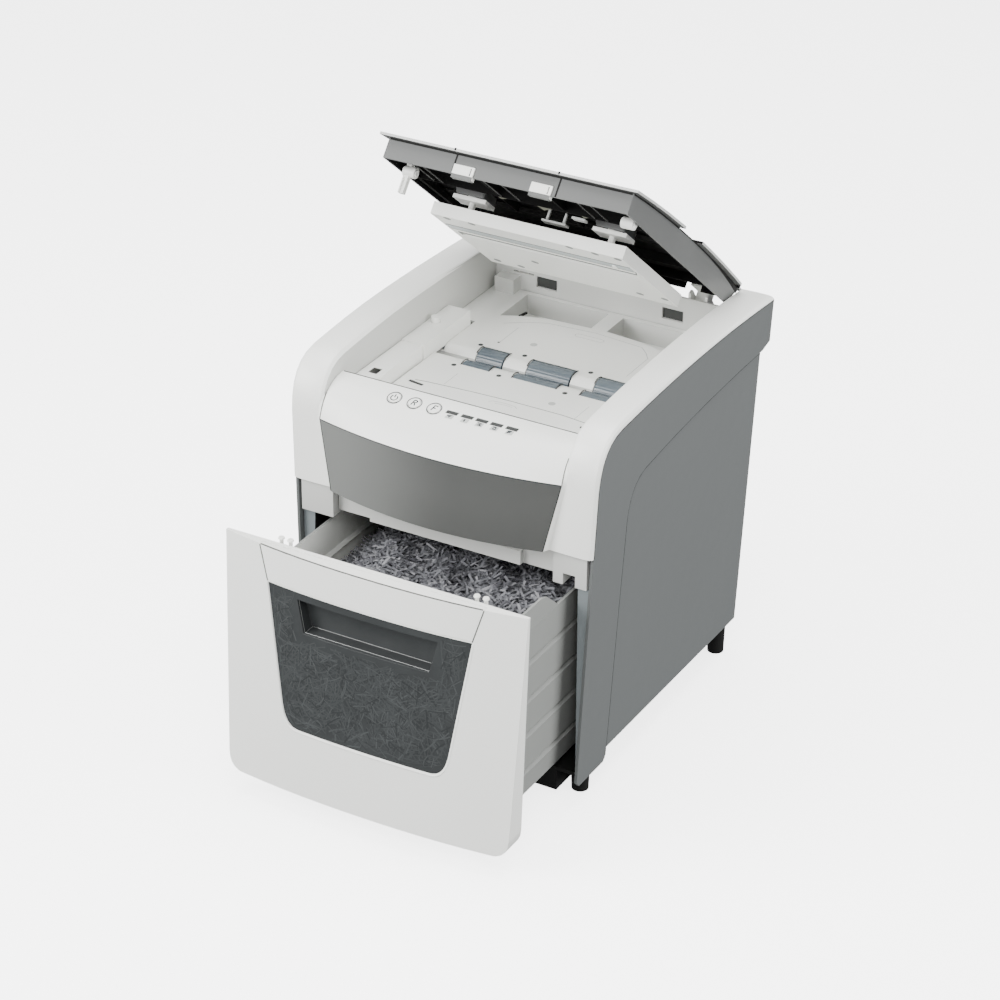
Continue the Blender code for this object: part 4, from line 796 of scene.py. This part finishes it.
def heap_core():
    """The body of the heap under its loose strips, painted dark for the shade deep among them."""
    work = bmesh.new()
    columns, rows = 54, 60
    grid = []
    for i in range(columns + 1):
        line = []
        for j in range(rows + 1):
            x = -126.0 + 252.0 * i / columns
            y = 4.0 + 308.0 * j / rows
            line.append(work.verts.new((x, y, heap_height(x, y) - 4.0)))
        grid.append(line)
    for i in range(columns):
        for j in range(rows):
            work.faces.new((grid[i][j], grid[i + 1][j], grid[i + 1][j + 1], grid[i][j + 1]))
    rim = [edge for edge in work.edges if edge.is_boundary]
    made = bmesh.ops.extrude_edge_only(work, edges=rim)["geom"]
    foot = [item for item in made if isinstance(item, bmesh.types.BMVert)]
    for vert in foot:
        vert.co.z = 90.0
    bmesh.ops.contextual_create(work, geom=[edge for edge in work.edges if edge.is_boundary])
    add_piece("shred_heap", work, "drawer", SHRED_MASS_PAINTED_SHADE)


def heap_strips():
    """The loose strips that lie on the heap, in three shades of paper."""
    dice = random.Random(7)
    works = {shade: bmesh.new() for shade in PAPERS}
    for _ in range(HEAP_STRIPS):
        x = dice.uniform(-118.0, 124.0)
        y = 6.0 + 300.0 * dice.random() ** 1.2
        lift = dice.uniform(-3.5, 2.5)
        turn = Matrix.Rotation(dice.uniform(0.0, math.tau), 4, "Z")
        turn = turn @ Matrix.Rotation(dice.gauss(0.0, 0.3), 4, "Y")
        turn = turn @ Matrix.Rotation(dice.gauss(0.0, 0.5), 4, "X")
        place = Vector((x, y, heap_height(x, y) + lift))
        strip_of_paper(works[dice.choice(PAPER_SHARES)], place, turn, dice.uniform(10.0, 19.0),
                       dice.uniform(1.6, 2.5), dice.uniform(-0.35, 0.5), dice.gauss(0.0, 0.8))
    for shade, work in works.items():
        add_piece("heap_strips_" + shade, work, "drawer", PAPERS[shade], flip=False)


def in_window(x, z):
    """Inside the window's outline and clear of the finger scoop."""
    half = 108.0 - 19.0 * (238.5 - z) / 122.5
    if z < 116.0:
        half = 89.0 - 17.0 * ((116.0 - z) / 22.0) ** 2
    in_scoop = z > 192.5 and abs(x) < 79.0
    return 95.5 < z < 236.5 and abs(x) < half and not in_scoop


def window_strips():
    """Strips of paper pressed against the window, seen through its smoked plastic."""
    dice = random.Random(11)
    works = {shade: bmesh.new() for shade in SMOKED_STRIPS}
    for count in range(WINDOW_STRIPS):
        lift = 0.03 + 0.00006 * count
        x, z = dice.uniform(-108.0, 108.0), dice.uniform(95.0, 237.0)
        heading, curl = dice.uniform(0.0, math.tau), dice.gauss(0.0, 0.3)
        length, width = dice.uniform(9.0, 22.0), dice.uniform(0.5, 1.5)
        path = []
        for k in range(6):
            path.append((x, z))
            x += length / 5 * math.cos(heading + curl * k / 5)
            z += length / 5 * math.sin(heading + curl * k / 5)
        if not all(in_window(*spot) for spot in path):
            continue
        work = works[dice.choice(PAPER_SHARES)]
        outline = line_outline(path, width)
        ring = [work.verts.new((x, drawer_face(x, z) + 0.9 - lift, z)) for x, z in outline]
        for k in range(5):
            work.faces.new((ring[k], ring[k + 1], ring[10 - k], ring[11 - k]))
    for shade, work in works.items():
        add_piece("window_strips_" + shade, work, "drawer", SMOKED_STRIPS[shade], flip=False)


def front_seams():
    """The joints round the insert in the drawer's top band, and a dark line along the band's upper edge."""
    work = bmesh.new()
    for side in (-1.0, 1.0):
        spots = [(side * (110.0 + 10.0 * k / 6), 239.5 + 34.0 * k / 6) for k in range(7)]
        add_tube(work, [(x, drawer_face(x, z) + 0.15, z) for x, z in spots], 0.6, 6)
    xs = [-119.0 + 238.0 * k / 16 for k in range(17)]
    add_tube(work, [(x, drawer_face(x, FRONT_TOP) + 0.5, FRONT_TOP - 0.3) for x in xs], 0.7, 6)
    add_piece("front_seams", work, "drawer", FAINT_SEAM)


def drawer_studs():
    """Two pairs of round studs, each pair on a small pad behind the drawer front's top edge."""
    work = bmesh.new()
    for x in (-107.5, -97.5, 102.5, 112.0):
        add_rod(work, (x, 7.0, 266.5), (0.0, 0.0, 1.0), 1.9, 8.0)
        add_rod(work, (x, 7.0, 274.2), (0.0, 0.0, 1.0), 3.3, 1.9, tip=2.7)
    for x in (-102.5, 107.2):
        add_box(work, x - 9.0, x + 9.0, -2.0, 11.0, 264.5, 266.6)
    add_piece("drawer_studs", work, "drawer", WHITE, 0.3)


def tab_ribs():
    """Short upright ribs on the bin's right wall."""
    work = bmesh.new()
    for y in (14.0, 24.0, 34.0, 44.0):
        add_box(work, 134.6, 135.5, y, y + 1.1, 229.5, 240.0)
    add_piece("bin_tab_ribs", work, "drawer", BIN, 0.2)


# ---------------------------------------------------------------- housing details

SIDE_TAPER, TOP_HEIGHT, HALF_WIDTH = 0.0361, 392.7, 167.2


def side_seams():
    """The thin shadow where each side panel steps down to its recess."""
    top = curve_points((371.0, 343.0), (225.0, 343.0), (108.0, 327.0))[1:]
    corner = curve_points((108.0, 327.0), (79.0, 323.0), (74.0, 288.0))
    foot = [(69.0 - 10.5 * k / 10, 214.0 - 184.0 * k / 10) for k in range(11)]
    path = top + corner[1:] + [(71.5, 250.0)] + foot
    for name, side in (("side_seam_right", 1.0), ("side_seam_left", -1.0)):
        work = bmesh.new()
        spots = []
        for y, z in path:
            x = HALF_WIDTH - SIDE_TAPER * (TOP_HEIGHT - z) - 0.5
            spots.append((side * x, y + 0.2, z - 0.2))
        add_tube(work, spots, 0.6, 6)
        add_piece(name, work, "housing", SEAM)


def front_edge(z):
    """Where the side panels' front edge stands."""
    return 0.6 + 0.0356 * (z - 25.0)


def arch_path():
    """The side panels' edge that the arch covers follow, from the drawer up and over to the rear."""
    rise = [(front_edge(z), z) for z in (275.4, 300.0, 325.0)]
    corner = curve_points((front_edge(345.0), 345.0), (16.0, 389.0), (52.0, crown(52.0)), 12)
    top = [(52.0 + 319.0 * k / 16, crown(52.0 + 319.0 * k / 16)) for k in range(1, 17)]
    return rise + corner + top


def arch_seams():
    """The dark joint between each arch cover and its side panel."""
    for name, side in (("arch_seam_right", 1.0), ("arch_seam_left", -1.0)):
        work = bmesh.new()
        spots = [(side * (HALF_WIDTH - SIDE_TAPER * (TOP_HEIGHT - z) - 0.2), y, z) for y, z in arch_path()]
        add_tube(work, spots, 0.5, 6)
        add_piece(name, work, "housing", SEAM)


def arch_cheeks():
    """The arches' inner borders, out to the front panel and the fascia's ends, with the joint there."""
    stations = []
    for k in range(9):
        z = 275.5 + 8.8 * k
        share = (z - 275.3) / 70.4
        inner = (115.5 + 15.1 * share, -1.9 + 7.0 * share)
        stations.append((z, *inner, 118.8 + 15.2 * share, front_edge(z) - 4.4))
    upper = ((350.0, 6.6, 8.2), (356.0, 9.0, 9.2), (362.0, 12.6, 11.2), (368.0, 17.8, 14.0))
    for z, face, cover in upper:
        stations.append((z, 130.6, face, 134.0, cover))
    for name, side in (("arch_cheek_right", 1.0), ("arch_cheek_left", -1.0)):
        work = bmesh.new()
        rings = []
        for z, x0, y0, x1, y1 in stations:
            section = ((x0, y0), (x1, y1), (x1, y1 + 1.6), (x0, y0 + 9.0))
            rings.append([work.verts.new((side * x, y, z)) for x, y in section])
        for first, second in zip(rings, rings[1:]):
            for k in range(4):
                work.faces.new((first[k], first[(k + 1) % 4], second[(k + 1) % 4], second[k]))
        work.faces.new(rings[0])
        work.faces.new(list(reversed(rings[-1])))
        add_piece(name, work, "housing", WHITE)
        joint = bmesh.new()
        add_tube(joint, [(side * x0, y0 - 0.1, z + 0.6) for z, x0, y0, x1, y1 in stations], 0.4, 6)
        add_piece(name + "_joint", joint, "housing", SEAM)


def side_painted_shade():
    """Painted shade: a black sheet on the inside of each side panel, seen past the bin when the drawer is out."""
    for name, side in (("side_painted_shade_right", 1.0), ("side_painted_shade_left", -1.0)):
        work = bmesh.new()
        rings = []
        for y in (46.0, 338.0):
            spots = ((154.0, y, 270.0), (153.2, y, 270.0), (144.8, y, 40.0), (145.6, y, 40.0))
            rings.append([work.verts.new((side * x, y, z)) for x, y, z in spots])
        for k in range(4):
            work.faces.new((rings[0][k], rings[0][(k + 1) % 4], rings[1][(k + 1) % 4], rings[1][k]))
        work.faces.new(rings[0])
        work.faces.new(list(reversed(rings[1])))
        add_piece(name, work, "housing", BLACK_AND_SHADE)


def panel_joint():
    """The dark joint between the fascia's lower edge and the front panel."""
    work = bmesh.new()
    xs = [-129.8 + 259.6 * k / 20 for k in range(21)]
    add_tube(work, [(x, 4.9 - FRONT_BOW * (1.0 - (x / TRAY_HALF) ** 2), 345.95) for x in xs], 0.42, 6)
    add_piece("panel_joint", work, "housing", SEAM)


def fascia_rim():
    """The joint along the fascia's top edge, and the bottom of the slot for the lid's hook."""
    joint = bmesh.new()
    add_tube(joint, [(-129.0, 46.9, 378.85), (129.0, 46.9, 378.85)], 0.55, 6)
    add_piece("fascia_joint", joint, "housing", DARK_MARK_AND_SHADE)
    slot = bmesh.new()
    add_box(slot, -122.8, -113.2, 79.2, 90.8, 355.0, 356.4)
    add_piece("hook_slot_floor", slot, "housing", WHITE, 0.3)


def tray_details():
    """Lines, pockets and a slit in the feed tray's rear wall and left pocket."""
    work = bmesh.new()
    add_tube(work, [(-129.0, 338.9, 351.6), (129.0, 338.9, 351.6)], 0.35, 6)
    for side in (-71.5, 71.5):
        low, high = 358.3, 370.7
        corners = ((side - 11.7, low), (side + 11.7, low), (side + 11.7, high), (side - 11.7, high))
        add_tube(work, [(x, 339.9, z) for x, z in corners], 0.25, 6, closed=True)
    add_piece("rear_wall_lines", work, "housing", PALE_MARK_AND_SHADE)
    # Painted shade: a black plate for the slit's shaded depth.
    slit = bmesh.new()
    add_plate(slit, line_outline([(-73.0, 285.2), (-70.6, 297.0)], 2.2), BED - 1.6, BED + 0.1)
    add_piece("pocket_slit", slit, "housing", BLACK_AND_SHADE)
    # Painted shade: dark backs in the rear wall's pockets.
    cavity = bmesh.new()
    for x in (-71.5, 71.5):
        add_box(cavity, x - 11.2, x + 11.2, 341.6, 342.3, 358.8, 370.2)
    add_piece("wall_pocket_backs", cavity, "housing", DARK_MARK_AND_SHADE)


def build_details():
    button_prints()
    status_prints()
    bed_marks()
    bed_holes()
    roller_sleeves()
    slot_linings()
    lid_tabs()
    lid_inside()
    lid_shadow_lines()
    plate_marks()
    window_rim()
    scoop_edges()
    heap_core()
    heap_strips()
    window_strips()
    drawer_studs()
    tab_ribs()
    front_seams()
    side_seams()
    arch_seams()
    arch_cheeks()
    side_painted_shade()
    panel_joint()
    fascia_rim()
    tray_details()


# ---------------------------------------------------------------- floor, light, camera

CAMERA_DRAWN = Vector((1372.3, -2287.1, 1778.0))
AZIMUTH, ELEVATION, ROLL = 29.68, 29.04, 0.27
FOCAL, SENSOR = 117.52, 36.0


def camera():
    az, el = math.radians(AZIMUTH), math.radians(ELEVATION)
    back = Vector((math.sin(az) * math.cos(el), -math.cos(az) * math.cos(el), math.sin(el)))
    right = Vector((math.cos(az), math.sin(az), 0.0))
    turned = Matrix((right, back.cross(right), back)).transposed().to_4x4()
    eye = bpy.data.cameras.new("camera")
    eye.lens = FOCAL
    eye.sensor_width = SENSOR
    eye.clip_end = 50.0
    holder = bpy.data.objects.new("camera", eye)
    bpy.context.scene.collection.objects.link(holder)
    roll = Matrix.Rotation(math.radians(ROLL), 4, "Z")
    holder.matrix_world = Matrix.Translation(TO_ROW @ CAMERA_DRAWN) @ turned @ roll
    bpy.context.scene.camera = holder


def area_light(name, place, target, size, power, colour=(1.0, 1.0, 1.0)):
    lamp = bpy.data.lights.new(name, "AREA")
    lamp.shape = "RECTANGLE"
    lamp.size, lamp.size_y = size
    lamp.energy = power
    lamp.color = colour
    holder = bpy.data.objects.new(name, lamp)
    bpy.context.scene.collection.objects.link(holder)
    holder.location = place
    holder.rotation_euler = (Vector(target) - Vector(place)).to_track_quat("-Z", "Y").to_euler()


def floor_paint():
    """A pale floor that glows faintly, as a backlit photographer's table does."""
    material = moulded("floor_paint", (0.93, 0.93, 0.925), 0.7, 0.1, spread=0.01)
    shader = material.node_tree.nodes["Principled BSDF"]
    shader.inputs["Emission Color"].default_value = (1.0, 1.0, 1.0, 1.0)
    shader.inputs["Emission Strength"].default_value = 3.5
    return material


def studio():
    world = bpy.data.worlds.new("studio")
    bpy.context.scene.world = world
    world.use_nodes = True
    sky = world.node_tree.nodes["Background"]
    sky.inputs["Color"].default_value = (0.95, 0.97, 1.0, 1.0)
    sky.inputs["Strength"].default_value = 0.38
    work = bmesh.new()
    bmesh.ops.create_grid(work, x_segments=1, y_segments=1, size=14.0)
    mesh = bpy.data.meshes.new("floor")
    work.to_mesh(mesh)
    work.free()
    floor = bpy.data.objects.new("floor", mesh)
    bpy.context.scene.collection.objects.link(floor)
    mesh.materials.append(floor_paint())
    floor.visible_diffuse = False
    floor.visible_glossy = False
    area_light("key", (-1.8, -2.0, 1.6), (0.0, 0.0, 0.3), (1.8, 1.8), 135.0)
    area_light("front", (0.3, -3.0, 0.9), (0.0, -0.1, 0.3), (1.4, 1.0), 40.0)
    area_light("top", (0.0, 0.2, 3.0), (0.0, 0.0, 0.4), (2.2, 2.2), 102.0)
    area_light("fill", (1.1, -1.7, 2.3), (-0.1, -0.15, 0.2), (1.2, 1.2), 36.0)
    area_light("side", (2.3, 0.3, 0.75), (0.1, 0.1, 0.3), (1.6, 1.0), 62.0)


dress_frame()
build_details()
camera()
studio()
